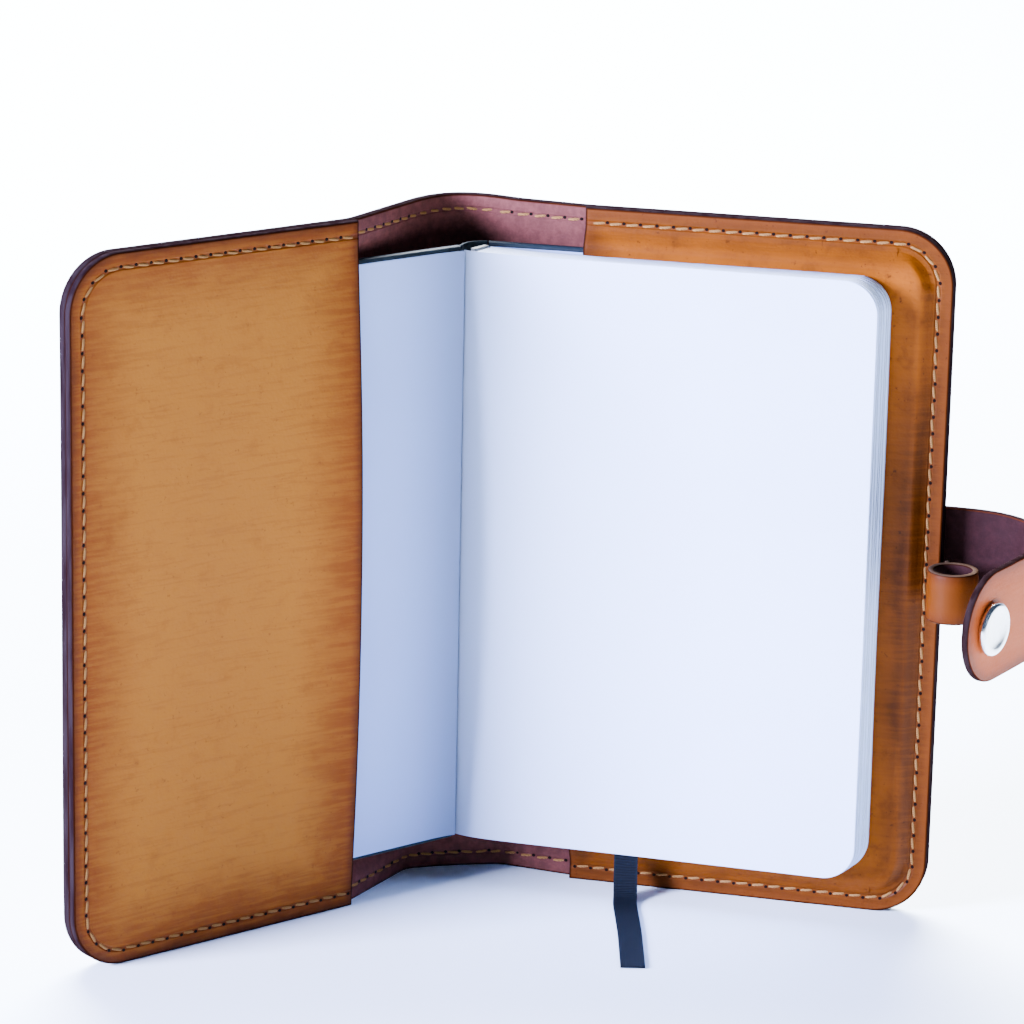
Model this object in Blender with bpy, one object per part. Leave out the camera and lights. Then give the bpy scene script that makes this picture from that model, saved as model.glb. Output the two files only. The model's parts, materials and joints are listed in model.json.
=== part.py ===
"""Pocket notebook in a leather refillable cover with a snap strap and a pen loop.

The cover stands on its lower edge, part open.  X runs along the spine, from the front
cover to the back cover, Y runs from the reader to the spine and Z is up.  The origin is
the centre of the model's footprint, at the height that it stands on.
"""
import math

import bmesh
import bpy
import numpy as np
from mathutils import Vector

MM = 0.001

# ---- Driving dimensions -------------------------------------------------------------
COVER_HEIGHT = 168.0 * MM
COVER_WIDTH = 107.0 * MM          # fold line to fore edge
SPINE_CHORD = 25.0 * MM           # fold line to fold line
SPINE_RISE_BOTTOM = 3.1 * MM      # crown of the arched spine at the lower edge
SPINE_RISE_TOP = 7.4 * MM
HIDE_THICKNESS = 2.5 * MM
FLAP_THICKNESS = 2.0 * MM
CORNER_RADIUS = 13.5 * MM
FOLD_GAP = 1.5 * MM               # half of the soft strip left free at a fold
FLEX_GAP = 0.6 * MM

PAGE_HEIGHT = 146.0 * MM
PAGE_WIDTH = 100.0 * MM
PAGE_CORNER_RADIUS = 8.0 * MM
BOARD_MARGIN = 1.0 * MM           # how far the boards stand proud of the pages
BOARD_THICKNESS = 2.2 * MM
ENDPAPER_THICKNESS = 0.2 * MM
LEAF_THICKNESS = 0.3 * MM
SIGNATURES = 6
BLOCK_THICKNESS_SPINE = 6.4 * MM
BLOCK_THICKNESS_FORE = 7.9 * MM
BOARD_CREEP = 6.4 * MM            # how far a board slides in its pocket as it closes

SEAM_INSET = 3.6 * MM             # stitch line to the edge of the leather
THREAD_WIDTH = 0.8 * MM
THREAD_THICKNESS = 0.4 * MM

STRAP_WIDTH = 26.0 * MM
STRAP_THICKNESS = 1.8 * MM
STRAP_HEIGHT = 87.0 * MM          # height of the strap's middle line
STRAP_SEWN_LENGTH = 34.0 * MM
STRAP_LEAD = 7.3 * MM             # straight leather between the fore edge and the curl
STRAP_CURL_RADIUS = 18.2 * MM
STRAP_CURL_ANGLE = math.radians(110.9)
STRAP_TAIL = 32.0 * MM            # straight leather after the curl
STRAP_HINGE_TAIL = 12.0 * MM      # how far down the tail its soft bend lies
SNAP_FROM_END = 10.5 * MM

LOOP_HEIGHT = 12.0 * MM
LOOP_BOTTOM = 77.5 * MM
LOOP_HALF_WIDTH = 6.0 * MM
LOOP_HALF_DEPTH = 6.3 * MM
LOOP_OVERHANG = 4.0 * MM          # its centre to the fore edge of the back cover
LOOP_WALL = 1.6 * MM

SNAP_CAP_RADIUS = 6.25 * MM
SNAP_SOCKET_RADIUS = 5.4 * MM
SNAP_SOCKET_DEPTH = 2.4 * MM
SNAP_STUD_RADIUS = 2.7 * MM
SNAP_SHANK_RADIUS = 1.7 * MM
SNAP_HOLE_RADIUS = 2.1 * MM
STUD_FROM_FORE_EDGE = 13.5 * MM

RIBBON_WIDTH = 5.8 * MM
RIBBON_THICKNESS = 0.5 * MM

GAP = 0.3 * MM                    # clearance between pieces that touch

# Points that the ribbon passes through, from the book's tail edge to its cut end:
# across the back cover, towards the reader, and up.
RIBBON_ROUTE = [
    (16.0, 10.9, 10.6), (16.0, 11.1, 7.5), (16.2, 11.9, 4.0), (16.7, 14.0, 1.3),
    (17.6, 18.0, 0.36), (20.4, 27.6, 0.34), (23.0, 36.6, 0.34), (25.9, 47.5, 0.34),
    (28.6, 57.8, 0.34),
]

PAGE_BOTTOM = (COVER_HEIGHT - PAGE_HEIGHT) / 2
BOARD_HEIGHT = PAGE_HEIGHT + 2 * BOARD_MARGIN
BOARD_WIDTH = PAGE_WIDTH - 0.5 * MM
PASTEDOWN_WIDTH = BOARD_WIDTH - BOARD_MARGIN
SEAM_FLAT = SEAM_INSET + 0.5 * MM     # leather that lies flat along the seam
FORE_RAMP = 1.7 * MM
SIDE_RAMP = PAGE_BOTTOM - BOARD_MARGIN - SEAM_FLAT - GAP


class Side:
    """One half of the cover: a gusset from the fold to the flex line, then the panel.

    Plan positions are (along, inward): along runs from the flex line to the fore edge,
    and inward points from the leather's middle layer towards the reader.
    """

    def __init__(self, sign, gusset_length, gusset_angle, panel_angle, dish, flap_lift,
                 flap_mouth, board_back, board_start):
        self.sign = sign
        self.gusset_length = gusset_length
        self.panel_length = COVER_WIDTH - gusset_length
        self.dish = dish                  # how far the hide bellies out behind a board
        self.flap_lift = flap_lift        # how far a board lifts the flap
        self.flap_mouth = flap_mouth      # extra belly at the middle of the flap's mouth
        self.board_back = board_back      # inward position of the board's outer face
        self.board_start = board_start    # along position of the board's spine edge
        self.fold = Vector((sign * SPINE_CHORD / 2, 0.0, 0.0))
        self.gusset_axes = self.axes(gusset_angle)
        self.panel_axes = self.axes(panel_angle)
        self.flex = self.fold + self.gusset_axes[0] * gusset_length
        self.mitre = math.tan((gusset_angle - panel_angle) / 2)

    def axes(self, angle):
        """Unit vectors along and inward for a wall at this angle to the X axis."""
        along = Vector((self.sign * math.cos(angle), -math.sin(angle), 0.0))
        inward = Vector((-self.sign * math.sin(angle), -math.cos(angle), 0.0))
        return along, inward

    def on_panel(self, along, inward, z):
        return (self.flex + self.panel_axes[0] * along + self.panel_axes[1] * inward
                + Vector((0, 0, z)))

    def on_gusset(self, along, inward, z):
        return (self.fold + self.gusset_axes[0] * along + self.gusset_axes[1] * inward
                + Vector((0, 0, z)))

    def belly(self, along, z):
        """1 where a board lies behind the leather, 0 on the seam, smooth between."""
        edge = np.minimum(z, COVER_HEIGHT - z)
        across = np.clip((edge - SEAM_FLAT) / SIDE_RAMP, 0, 1)
        down = np.clip((self.panel_length - along - SEAM_FLAT) / FORE_RAMP, 0, 1)
        out_along = np.maximum(along - (self.panel_length - CORNER_RADIUS), 0)
        out_side = np.maximum(CORNER_RADIUS - edge, 0)
        inset = CORNER_RADIUS - np.hypot(out_along, out_side)
        in_corner = (out_along > 0) & (out_side > 0)
        corner = np.where(in_corner, np.clip((inset - SEAM_FLAT) / FORE_RAMP, 0, 1), 1)
        share = np.minimum(np.minimum(across, down), corner)
        return share * share * (3 - 2 * share)

    def hide_middle(self, along, z):
        return -self.dish * self.belly(along, z)

    def flap_middle(self, along, z):
        rest = HIDE_THICKNESS / 2 + GAP + FLAP_THICKNESS / 2
        reach = 0.5 * self.panel_length
        mouth = np.clip(1 - along / reach, 0, 1) ** 2 * np.sin(math.pi * z / COVER_HEIGHT)
        return rest + self.flap_lift * self.belly(along, z) + self.flap_mouth * mouth


LEFT = Side(-1, 27.7 * MM, math.radians(49.4), math.radians(26.9), dish=3.0 * MM,
            flap_lift=0.0, flap_mouth=4.5 * MM, board_back=-1.45 * MM,
            board_start=-32.1 * MM)
RIGHT = Side(1, 18.8 * MM, math.radians(33.9), math.radians(25.9), dish=0.75 * MM,
             flap_lift=2.25 * MM, flap_mouth=0.0, board_back=0.8 * MM,
             board_start=-23.6 * MM)

# Where the text block lies on the back cover, as (along, inward) positions.
BLOCK_BACK_SPINE = RIGHT.board_back + BOARD_THICKNESS + ENDPAPER_THICKNESS + 2 * GAP
BLOCK_BACK_FLAP = (HIDE_THICKNESS / 2 + GAP + FLAP_THICKNESS + RIGHT.flap_lift + GAP)
BLOCK_START_BACK = RIGHT.board_start + BOARD_MARGIN
BLOCK_START_FRONT = BLOCK_START_BACK - 2.0 * MM
GUTTER = (BLOCK_START_FRONT - 3.1 * MM, BLOCK_BACK_SPINE + BLOCK_THICKNESS_SPINE)


# ---- Bodies and their hinge lines ---------------------------------------------------
def curl_points():
    """Plan positions and headings along the strap, in the back cover's panel frame.

    The strap leaves the fore edge straight, turns towards the reader on one arc and
    ends in a straight tail.  Returns a function of the length past the fore edge.
    """
    start = np.array([RIGHT.panel_length, strap_level()])
    arc = STRAP_CURL_RADIUS * STRAP_CURL_ANGLE

    def at(length):
        if length <= STRAP_LEAD:
            return start + np.array([length, 0.0]), 0.0
        turned = min((length - STRAP_LEAD) / STRAP_CURL_RADIUS, STRAP_CURL_ANGLE)
        place = start + np.array([STRAP_LEAD + STRAP_CURL_RADIUS * math.sin(turned),
                                  STRAP_CURL_RADIUS * (1 - math.cos(turned))])
        left = length - STRAP_LEAD - arc
        if left > 0:
            place = place + left * np.array([math.cos(turned), math.sin(turned)])
        return place, turned

    return at, STRAP_LEAD + arc


def strap_level():
    """Inward position of the strap's middle layer where it is sewn to the cover."""
    return -(RIGHT.dish + HIDE_THICKNESS / 2 + GAP + STRAP_THICKNESS / 2)


STRAP_AT, STRAP_CURL_END = curl_points()
STRAP_HINGES = [1.0 * MM, STRAP_LEAD + STRAP_CURL_RADIUS * STRAP_CURL_ANGLE / 2,
                STRAP_CURL_END + STRAP_HINGE_TAIL]
STRAP_END = STRAP_CURL_END + STRAP_TAIL
SNAP_LENGTH = STRAP_END - SNAP_FROM_END


def strap_pivot(length):
    place, _ = STRAP_AT(length)
    return RIGHT.on_panel(place[0], place[1], 0)


# name: (parent body, a point on the joint's axis)
BODIES = {
    "spine": (None, Vector((0, 0, 0))),
    "left_gusset_body": ("spine", LEFT.fold),
    "left_cover": ("left_gusset_body", LEFT.flex),
    "front_board_body": ("left_cover", LEFT.on_panel(LEFT.board_start, 0, 0)),
    "right_gusset_body": ("spine", RIGHT.fold),
    "right_cover": ("right_gusset_body", RIGHT.flex),
    "book_block": ("right_cover", RIGHT.on_panel(RIGHT.board_start, 0, 0)),
    "turning_leaf_body": ("book_block", RIGHT.on_panel(GUTTER[0], GUTTER[1], 0)),
    "strap_bend_1_body": ("right_cover", strap_pivot(STRAP_HINGES[0])),
    "strap_bend_2_body": ("strap_bend_1_body", strap_pivot(STRAP_HINGES[1])),
    "strap_tip_body": ("strap_bend_2_body", strap_pivot(STRAP_HINGES[2])),
}
PIVOTS = {}


def make_pivots():
    for name, (parent, point) in BODIES.items():
        empty = bpy.data.objects.new("pivot_" + name, None)
        bpy.context.scene.collection.objects.link(empty)
        empty.location = point
        if parent:
            empty.parent = PIVOTS[parent]
            empty.location = point - BODIES[parent][1]
        PIVOTS[name] = empty


# ---- Materials ----------------------------------------------------------------------
def finish(name, color, roughness, metallic=0.0):
    material = bpy.data.materials.new(name)
    material.use_nodes = True
    shader = material.node_tree.nodes["Principled BSDF"]
    shader.inputs["Base Color"].default_value = (*color, 1.0)
    shader.inputs["Roughness"].default_value = roughness
    shader.inputs["Metallic"].default_value = metallic
    return material


TAN = ((0.46, 0.20, 0.06), 0.45)
DARK_FLESH = ((0.07, 0.03, 0.03), 0.7)
STRAP_TAN = ((0.50, 0.24, 0.14), 0.45)
BLACK_CLOTH = ((0.012, 0.02, 0.028), 0.55)
PAPER = ((0.80, 0.84, 0.90), 0.7)
THREAD = ((0.35, 0.22, 0.10), 0.8)
STEEL = ((0.75, 0.77, 0.78), 0.25, 1.0)


# ---- Mesh helpers -------------------------------------------------------------------
def add_mesh(name, vertices, faces, body, look, smooth=True):
    """A closed mesh as an object of a body; its origin lies on the body's hinge line."""
    mesh = bpy.data.meshes.new(name)
    pivot = BODIES[body][1]
    mesh.from_pydata([tuple(Vector(v) - pivot) for v in vertices], [], faces)
    shape = bmesh.new()
    shape.from_mesh(mesh)
    bmesh.ops.recalc_face_normals(shape, faces=shape.faces)
    shape.to_mesh(mesh)
    shape.free()
    if smooth:
        mesh.shade_smooth()
        mesh.set_sharp_from_angle(angle=math.radians(35))
    item = bpy.data.objects.new(name, mesh)
    bpy.context.scene.collection.objects.link(item)
    item.parent = PIVOTS[body]
    mesh.materials.append(finish(name, *look))
    return item


def sheet_mesh(outer, inner):
    """Vertices and faces of the closed body between two equal grids of points."""
    columns, rows = len(outer), len(outer[0])
    vertices = [point for grid in (outer, inner) for line in grid for point in line]
    layer = columns * rows

    def quad(a, b, flip):
        corner = a * rows + b
        loop = (corner, corner + 1, corner + rows + 1, corner + rows)
        return tuple(reversed(loop)) if flip else loop

    faces = []
    for a in range(columns - 1):
        for b in range(rows - 1):
            faces.append(quad(a, b, False))
            faces.append(tuple(layer + i for i in quad(a, b, True)))
    rim = ([a * rows for a in range(columns)]
           + [(columns - 1) * rows + b for b in range(1, rows)]
           + [a * rows + rows - 1 for a in range(columns - 2, -1, -1)]
           + [b for b in range(rows - 2, 0, -1)])
    for here, there in zip(rim, rim[1:] + rim[:1]):
        faces.append((here, there, layer + there, layer + here))
    return vertices, faces


def plate_stations(start, end, radius, height, insets, extra=()):
    """Stations (along, level) of a plate whose two corners at the end are rounded.

    Lines lie at the insets from the outline.  In a corner square, a point at (x, y) from
    the arc's centre moves to the circle of radius max(x, y), so the lines stay parallel
    to the outline.
    """
    columns = sorted({start, end - radius, *(end - inset for inset in insets),
                      *(x for x in extra if start < x < end - radius)})
    levels = sorted({radius, height / 2, height - radius,
                     *insets, *(height - inset for inset in insets)})
    grid = []
    for along in columns:
        line = []
        for level in levels:
            x = max(0.0, along - (end - radius))
            y = max(0.0, abs(level - height / 2) - (height / 2 - radius))
            pull = max(x, y) / math.hypot(x, y) if x > 0 and y > 0 else 1.0
            side = 1 if level > height / 2 else -1
            moved = height / 2 + side * (height / 2 - radius + y * pull)
            line.append((end - radius + x * pull if x > 0 else along,
                         moved if y > 0 else level))
        grid.append(line)
    return grid


def plate(name, place, body, look, start, end, radius, bottom, height, faces,
          insets=None, extra=()):
    """A plate between faces(along, z), which gives two inward positions."""
    insets = insets or [radius * share for share in (0.0, 0.25, 0.5, 0.75)]
    stations = plate_stations(start, end, radius, height, insets, extra)

    def grid(side):
        return [[place(along, float(faces(along, bottom + level)[side]), bottom + level)
                 for along, level in line] for line in stations]
    return add_mesh(name, *sheet_mesh(grid(0), grid(1)), body, look)


def around(middle, thickness):
    """The two faces of a sheet of one thickness round a middle layer."""
    def faces(along, z):
        level = middle(along, z)
        return level - thickness / 2, level + thickness / 2
    return faces


def prism(name, outline, bottom, top, body, look, smooth=True):
    """A closed body with a plan outline, from one height to another."""
    count = len(outline)
    vertices = [(p[0], p[1], z) for z in (bottom, top) for p in outline]
    faces = [tuple(range(count)), tuple(range(2 * count - 1, count - 1, -1))]
    faces += [(i, (i + 1) % count, count + (i + 1) % count, count + i)
              for i in range(count)]
    return add_mesh(name, vertices, faces, body, look, smooth)


def turned(name, profile, centre, axis, body, look, steps=20):
    """A turned body; profile is (radius, height) pairs, starting and ending on the axis."""
    spin = Vector(axis).to_track_quat('Z', 'Y').to_matrix()
    vertices, rings, faces = [], [], []
    for radius, height in profile:
        ring = []
        for i in range(1 if radius == 0 else steps):
            angle = 2 * math.pi * i / steps
            local = Vector((radius * math.cos(angle), radius * math.sin(angle), height))
            ring.append(len(vertices))
            vertices.append(Vector(centre) + spin @ local)
        rings.append(ring)
    for low, high in zip(rings, rings[1:]):
        for i in range(steps):
            j = (i + 1) % steps
            loop = (low[i % len(low)], low[j % len(low)],
                    high[j % len(high)], high[i % len(high)])
            faces.append(tuple(dict.fromkeys(loop)))
    return add_mesh(name, vertices, faces, body, look)


def cut_away(item, cutter):
    """Cuts a body with a hidden cutter."""
    cutter.hide_render = True
    cutter.hide_viewport = False
    cutter.display_type = 'WIRE'
    step = item.modifiers.new("cut_" + cutter.name, 'BOOLEAN')
    step.operation = 'DIFFERENCE'
    step.object = cutter
    step.solver = 'EXACT'


# ---- The leather cover --------------------------------------------------------------
LEATHER_INSETS = [0.0, SEAM_FLAT, SEAM_FLAT + FORE_RAMP,
                  SEAM_FLAT + (FORE_RAMP + SIDE_RAMP) / 2, SEAM_FLAT + SIDE_RAMP]


def belly_columns(side):
    return [share * side.panel_length for share in (0.2, 0.45, 0.65)]


def make_spine():
    """The arched middle of the hide; its crown stands further out towards the top."""
    half = SPINE_CHORD / 2 - FOLD_GAP
    grids = []
    for side in (1, -1):
        grid = []
        for x in np.linspace(-half, half, 9):
            line = []
            for share in (0.0, 0.5, 1.0):
                rise = SPINE_RISE_BOTTOM + (SPINE_RISE_TOP - SPINE_RISE_BOTTOM) * share
                slope = -8 * rise * x / SPINE_CHORD ** 2
                middle = Vector((x, rise * (1 - (2 * x / SPINE_CHORD) ** 2), 0))
                normal = Vector((-slope, 1, 0)).normalized()
                line.append(middle + normal * side * HIDE_THICKNESS / 2
                            + Vector((0, 0, share * COVER_HEIGHT)))
            grid.append(line)
        grids.append(grid)
    add_mesh("spine_panel", *sheet_mesh(*grids), "spine", DARK_FLESH)


def make_gusset(side, name, body):
    """Hide between the fold and the flex line; the board's belly fades out along it."""
    end = side.gusset_length - FLEX_GAP
    levels = sorted({COVER_HEIGHT / 2, CORNER_RADIUS, COVER_HEIGHT - CORNER_RADIUS,
                     *LEATHER_INSETS, *(COVER_HEIGHT - inset for inset in LEATHER_INSETS)})

    def place(along, face, z):
        inward = (float(side.hide_middle(0.0, z)) * along / side.gusset_length
                  + face * HIDE_THICKNESS / 2)
        mitre = side.mitre * min(inward, 0.0) * along / end
        return side.on_gusset(along + mitre, inward, z)

    def grid(face):
        return [[place(along, face, z) for z in levels]
                for along in np.linspace(FOLD_GAP, end, 4)]
    add_mesh(name, *sheet_mesh(grid(-1), grid(1)), body, DARK_FLESH)


def make_cover_panel(side, name, body):
    """A cover's half of the hide, from the flex line to the fore edge."""
    def place(along, inward, z):
        mitre = side.mitre * min(inward, 0.0) if along == FLEX_GAP else 0.0
        return side.on_panel(along - mitre, inward, z)
    return plate(name, place, body, TAN, FLEX_GAP, side.panel_length, CORNER_RADIUS, 0.0,
                 COVER_HEIGHT, around(side.hide_middle, HIDE_THICKNESS), LEATHER_INSETS,
                 belly_columns(side))


def make_pocket(side, name, body):
    """The flap sewn round three sides of a cover, which holds the notebook's board."""
    return plate(name, side.on_panel, body, TAN, FLEX_GAP, side.panel_length,
                 CORNER_RADIUS, 0.0, COVER_HEIGHT, around(side.flap_middle, FLAP_THICKNESS),
                 LEATHER_INSETS, belly_columns(side))


def make_seam_thread(side, name, body):
    """The thread of the pocket seam, round three sides on the flap's inner face."""
    turn = CORNER_RADIUS - SEAM_INSET
    corner = side.panel_length - CORNER_RADIUS
    centres = [(corner, COVER_HEIGHT - CORNER_RADIUS), (corner, CORNER_RADIUS)]
    path = [((1.5 * MM, COVER_HEIGHT - SEAM_INSET), (0, 1))]
    for (a, z), first in zip(centres, (90, 0)):
        for step in range(5):
            angle = math.radians(first - 22.5 * step)
            out = (math.cos(angle), math.sin(angle))
            path.append(((a + turn * out[0], z + turn * out[1]), out))
    path.append(((1.5 * MM, SEAM_INSET), (0, -1)))
    level = FLAP_THICKNESS / 2 + GAP
    grids = []
    for lift in (level, level + THREAD_THICKNESS):
        grid = []
        for (a, z), out in path:
            line = []
            for share in (-0.5, 0.5):
                along = a + out[0] * share * THREAD_WIDTH
                height = z + out[1] * share * THREAD_WIDTH
                line.append(side.on_panel(along, float(side.flap_middle(a, z)) + lift,
                                          height))
            grid.append(line)
        grids.append(grid)
    add_mesh(name, *sheet_mesh(*grids), body, THREAD)


# ---- The notebook -------------------------------------------------------------------
def make_board(side, name, body):
    level = side.board_back + BOARD_THICKNESS / 2
    plate(name, side.on_panel, body, BLACK_CLOTH, side.board_start,
          side.board_start + BOARD_WIDTH, PAGE_CORNER_RADIUS, PAGE_BOTTOM - BOARD_MARGIN,
          BOARD_HEIGHT, around(lambda along, z: level, BOARD_THICKNESS))


def make_pastedown(side, name, body):
    """The endpaper glued to the inside of a board."""
    level = side.board_back + BOARD_THICKNESS + GAP + ENDPAPER_THICKNESS / 2
    start = side.board_start
    plate(name, side.on_panel, body, PAPER, start, start + PASTEDOWN_WIDTH,
          PAGE_CORNER_RADIUS, PAGE_BOTTOM, PAGE_HEIGHT,
          around(lambda along, z: level, ENDPAPER_THICKNESS))


def block_back(along):
    """Inward position of the text block's back, which rides up over the pocket flap."""
    top = FLEX_GAP - BOARD_CREEP - FLAP_THICKNESS
    share = min(max((along - BLOCK_START_BACK) / (top - BLOCK_START_BACK), 0), 1)
    return BLOCK_BACK_SPINE + (BLOCK_BACK_FLAP - BLOCK_BACK_SPINE) * share


def page_face(along):
    """Inward position of the front of the open page."""
    fore = BLOCK_BACK_FLAP + BLOCK_THICKNESS_FORE
    return GUTTER[1] + (fore - GUTTER[1]) * (along - GUTTER[0]) / PAGE_WIDTH


def make_signatures():
    """The folded sections of the text block, from the back one to the front one."""
    fore_front = GUTTER[0] + PAGE_WIDTH
    for index in range(SIGNATURES):
        low, high = index / SIGNATURES, (index + 1) / SIGNATURES
        start = BLOCK_START_BACK + (BLOCK_START_FRONT - BLOCK_START_BACK) * low
        end = fore_front + 2.0 * MM * (1 - low)

        def faces(along, z):
            back = block_back(along)
            depth = page_face(along) - LEAF_THICKNESS - GAP - back
            return back + depth * low, back + depth * high - GAP

        plate(f"signature_{index + 1}", RIGHT.on_panel, "book_block", PAPER, start, end,
              PAGE_CORNER_RADIUS, PAGE_BOTTOM, PAGE_HEIGHT, faces,
              extra=(FLEX_GAP - BOARD_CREEP - FLAP_THICKNESS,))


def make_turning_leaf():
    """The free first leaf, hinged in the gutter."""
    plate("turning_leaf", RIGHT.on_panel, "turning_leaf_body", PAPER, GUTTER[0],
          GUTTER[0] + PAGE_WIDTH, PAGE_CORNER_RADIUS, PAGE_BOTTOM, PAGE_HEIGHT,
          around(lambda along, z: page_face(along) - LEAF_THICKNESS / 2, LEAF_THICKNESS))


def spine_strip(depth_from, depth_to):
    """Plan outline of a strip along the block's spine, at a distance behind it."""
    back = np.array([BLOCK_START_BACK, BLOCK_BACK_SPINE])
    front = np.array([BLOCK_START_FRONT - 0.2 * MM, page_face(BLOCK_START_FRONT) - 0.9 * MM])
    run = (front - back) / np.linalg.norm(front - back)
    out = np.array([-run[1], run[0]])
    if out[0] > 0:
        out = -out
    back = back + run * (0.5 * depth_to)
    corners = [back + out * depth_from, front + out * depth_from,
               front + out * depth_to, back + out * depth_to]
    return [RIGHT.on_panel(c[0], c[1], 0) for c in corners]


def make_spine_parts():
    """Lining, headbands and the cloth joint that ties the two boards together."""
    lining = spine_strip(GAP, GAP + 0.4 * MM)
    inset = 3.2 * MM
    prism("spine_lining", lining, PAGE_BOTTOM + inset, PAGE_BOTTOM + PAGE_HEIGHT - inset,
          "book_block", PAPER, smooth=False)
    band = spine_strip(GAP, GAP + 1.2 * MM)
    top = PAGE_BOTTOM + PAGE_HEIGHT
    prism("headband_top", band, top - inset + GAP, top + 0.4 * MM, "book_block",
          ((0.75, 0.75, 0.72), 0.8))
    prism("headband_bottom", band, PAGE_BOTTOM - 0.4 * MM, PAGE_BOTTOM + inset - GAP,
          "book_block", ((0.75, 0.75, 0.72), 0.8))

    reach = 0.5 * MM
    thickness = 0.5 * MM
    start = RIGHT.on_panel(RIGHT.board_start - reach,
                           RIGHT.board_back + BOARD_THICKNESS / 2, 0)
    end = LEFT.on_panel(LEFT.board_start - reach,
                        LEFT.board_back + BOARD_THICKNESS / 2, 0)
    pull = Vector((0.3 * start.x + 0.7 * end.x, start.y + 0.9 * MM, 0))
    path = []
    for step in range(7):
        t = step / 6
        path.append(start * (1 - t) ** 2 + pull * 2 * t * (1 - t) + end * t ** 2)
    bottom = PAGE_BOTTOM - BOARD_MARGIN
    grids = []
    for side in (-0.5, 0.5):
        grid = []
        for i, point in enumerate(path):
            run = path[min(i + 1, 6)] - path[max(i - 1, 0)]
            normal = Vector((-run.y, run.x, 0)).normalized()
            grid.append([point + normal * side * thickness + Vector((0, 0, z))
                         for z in (bottom, bottom + BOARD_HEIGHT)])
        grids.append(grid)
    add_mesh("spine_cloth", *sheet_mesh(*grids), "book_block", BLACK_CLOTH)


def smooth_path(points, steps):
    """Points of a smooth curve through the given ones (Catmull-Rom)."""
    points = [Vector(p) for p in points]
    ends = [2 * points[0] - points[1]] + points + [2 * points[-1] - points[-2]]
    path = []
    for i in range(len(points) - 1):
        a, b, c, d = ends[i:i + 4]
        for step in range(steps):
            t = step / steps
            path.append(0.5 * (2 * b + (c - a) * t + (2 * a - 5 * b + 4 * c - d) * t ** 2
                               + (3 * b - a - 3 * c + d) * t ** 3))
    return path + [points[-1]]


def make_ribbon():
    """The ribbon marker: out of the block's tail edge, down, and along the ground."""
    route = [RIGHT.on_panel(a * MM, b * MM, z * MM) for a, b, z in RIBBON_ROUTE]
    path = smooth_path(route, 3)
    run_end = (path[-1] - path[-2]).normalized()
    across_end = Vector((-run_end.y, run_end.x, 0))
    across_start = RIGHT.panel_axes[0]
    if across_end.dot(across_start) < 0:
        across_end = -across_end
    grids = []
    for side in (-0.5, 0.5):
        grid = []
        for i, point in enumerate(path):
            run = (path[min(i + 1, len(path) - 1)] - path[max(i - 1, 0)]).normalized()
            share = min(1.0, i / (0.5 * len(path)))
            across = across_start.lerp(across_end, share)
            across = (across - run * across.dot(run)).normalized()
            normal = run.cross(across).normalized()
            grid.append([point + across * half * RIBBON_WIDTH
                         + normal * side * RIBBON_THICKNESS for half in (-0.5, 0.5)])
        grids.append(grid)
    add_mesh("ribbon_marker", *sheet_mesh(*grids), "book_block", BLACK_CLOTH)


# ---- Strap, snap and pen loop -------------------------------------------------------
def strap_grid(lengths, halves, side):
    """Points on one face of the strap; halves gives its half width at each length."""
    grid = []
    for length, half in zip(lengths, halves):
        place, turned_by = STRAP_AT(length)
        normal = np.array([-math.sin(turned_by), math.cos(turned_by)])
        spot = place + normal * side * STRAP_THICKNESS / 2
        grid.append([RIGHT.on_panel(spot[0], spot[1], STRAP_HEIGHT + share * half)
                     for share in (-1.0, 1.0)])
    return grid


def make_strap():
    half = STRAP_WIDTH / 2
    clear = 0.35 * MM
    first, second, third = STRAP_HINGES
    runs = {
        "strap_root": ("right_cover", np.linspace(-STRAP_SEWN_LENGTH, first - clear, 3)),
        "strap_bend_1": ("strap_bend_1_body", np.linspace(first + clear, second - clear, 8)),
        "strap_bend_2": ("strap_bend_2_body", np.linspace(second + clear, third - clear, 9)),
    }
    for name, (body, lengths) in runs.items():
        halves = [half] * len(lengths)
        add_mesh(name, *sheet_mesh(strap_grid(lengths, halves, -1),
                                   strap_grid(lengths, halves, 1)), body, STRAP_TAN)
    turn = half * 0.92
    lengths = [third + clear] + [STRAP_END - turn * (1 - math.sin(math.pi / 2 * i / 8))
                                 for i in range(9)]
    halves = [half] + [half - turn + turn * math.cos(math.pi / 2 * i / 8)
                       for i in range(9)]
    tip = add_mesh("strap_tip", *sheet_mesh(strap_grid(lengths, halves, -1),
                                            strap_grid(lengths, halves, 1)),
                   "strap_tip_body", STRAP_TAN)
    place, turned_by = STRAP_AT(SNAP_LENGTH)
    centre = RIGHT.on_panel(place[0], place[1], STRAP_HEIGHT)
    inward = (RIGHT.panel_axes[0] * -math.sin(turned_by)
              + RIGHT.panel_axes[1] * math.cos(turned_by))
    hole = turned("snap_hole_cutter", [(0, -4 * MM), (SNAP_HOLE_RADIUS, -4 * MM),
                                       (SNAP_HOLE_RADIUS, 4 * MM), (0, 4 * MM)],
                  centre, inward, "strap_tip_body", STEEL)
    cut_away(tip, hole)
    return centre, inward


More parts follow.
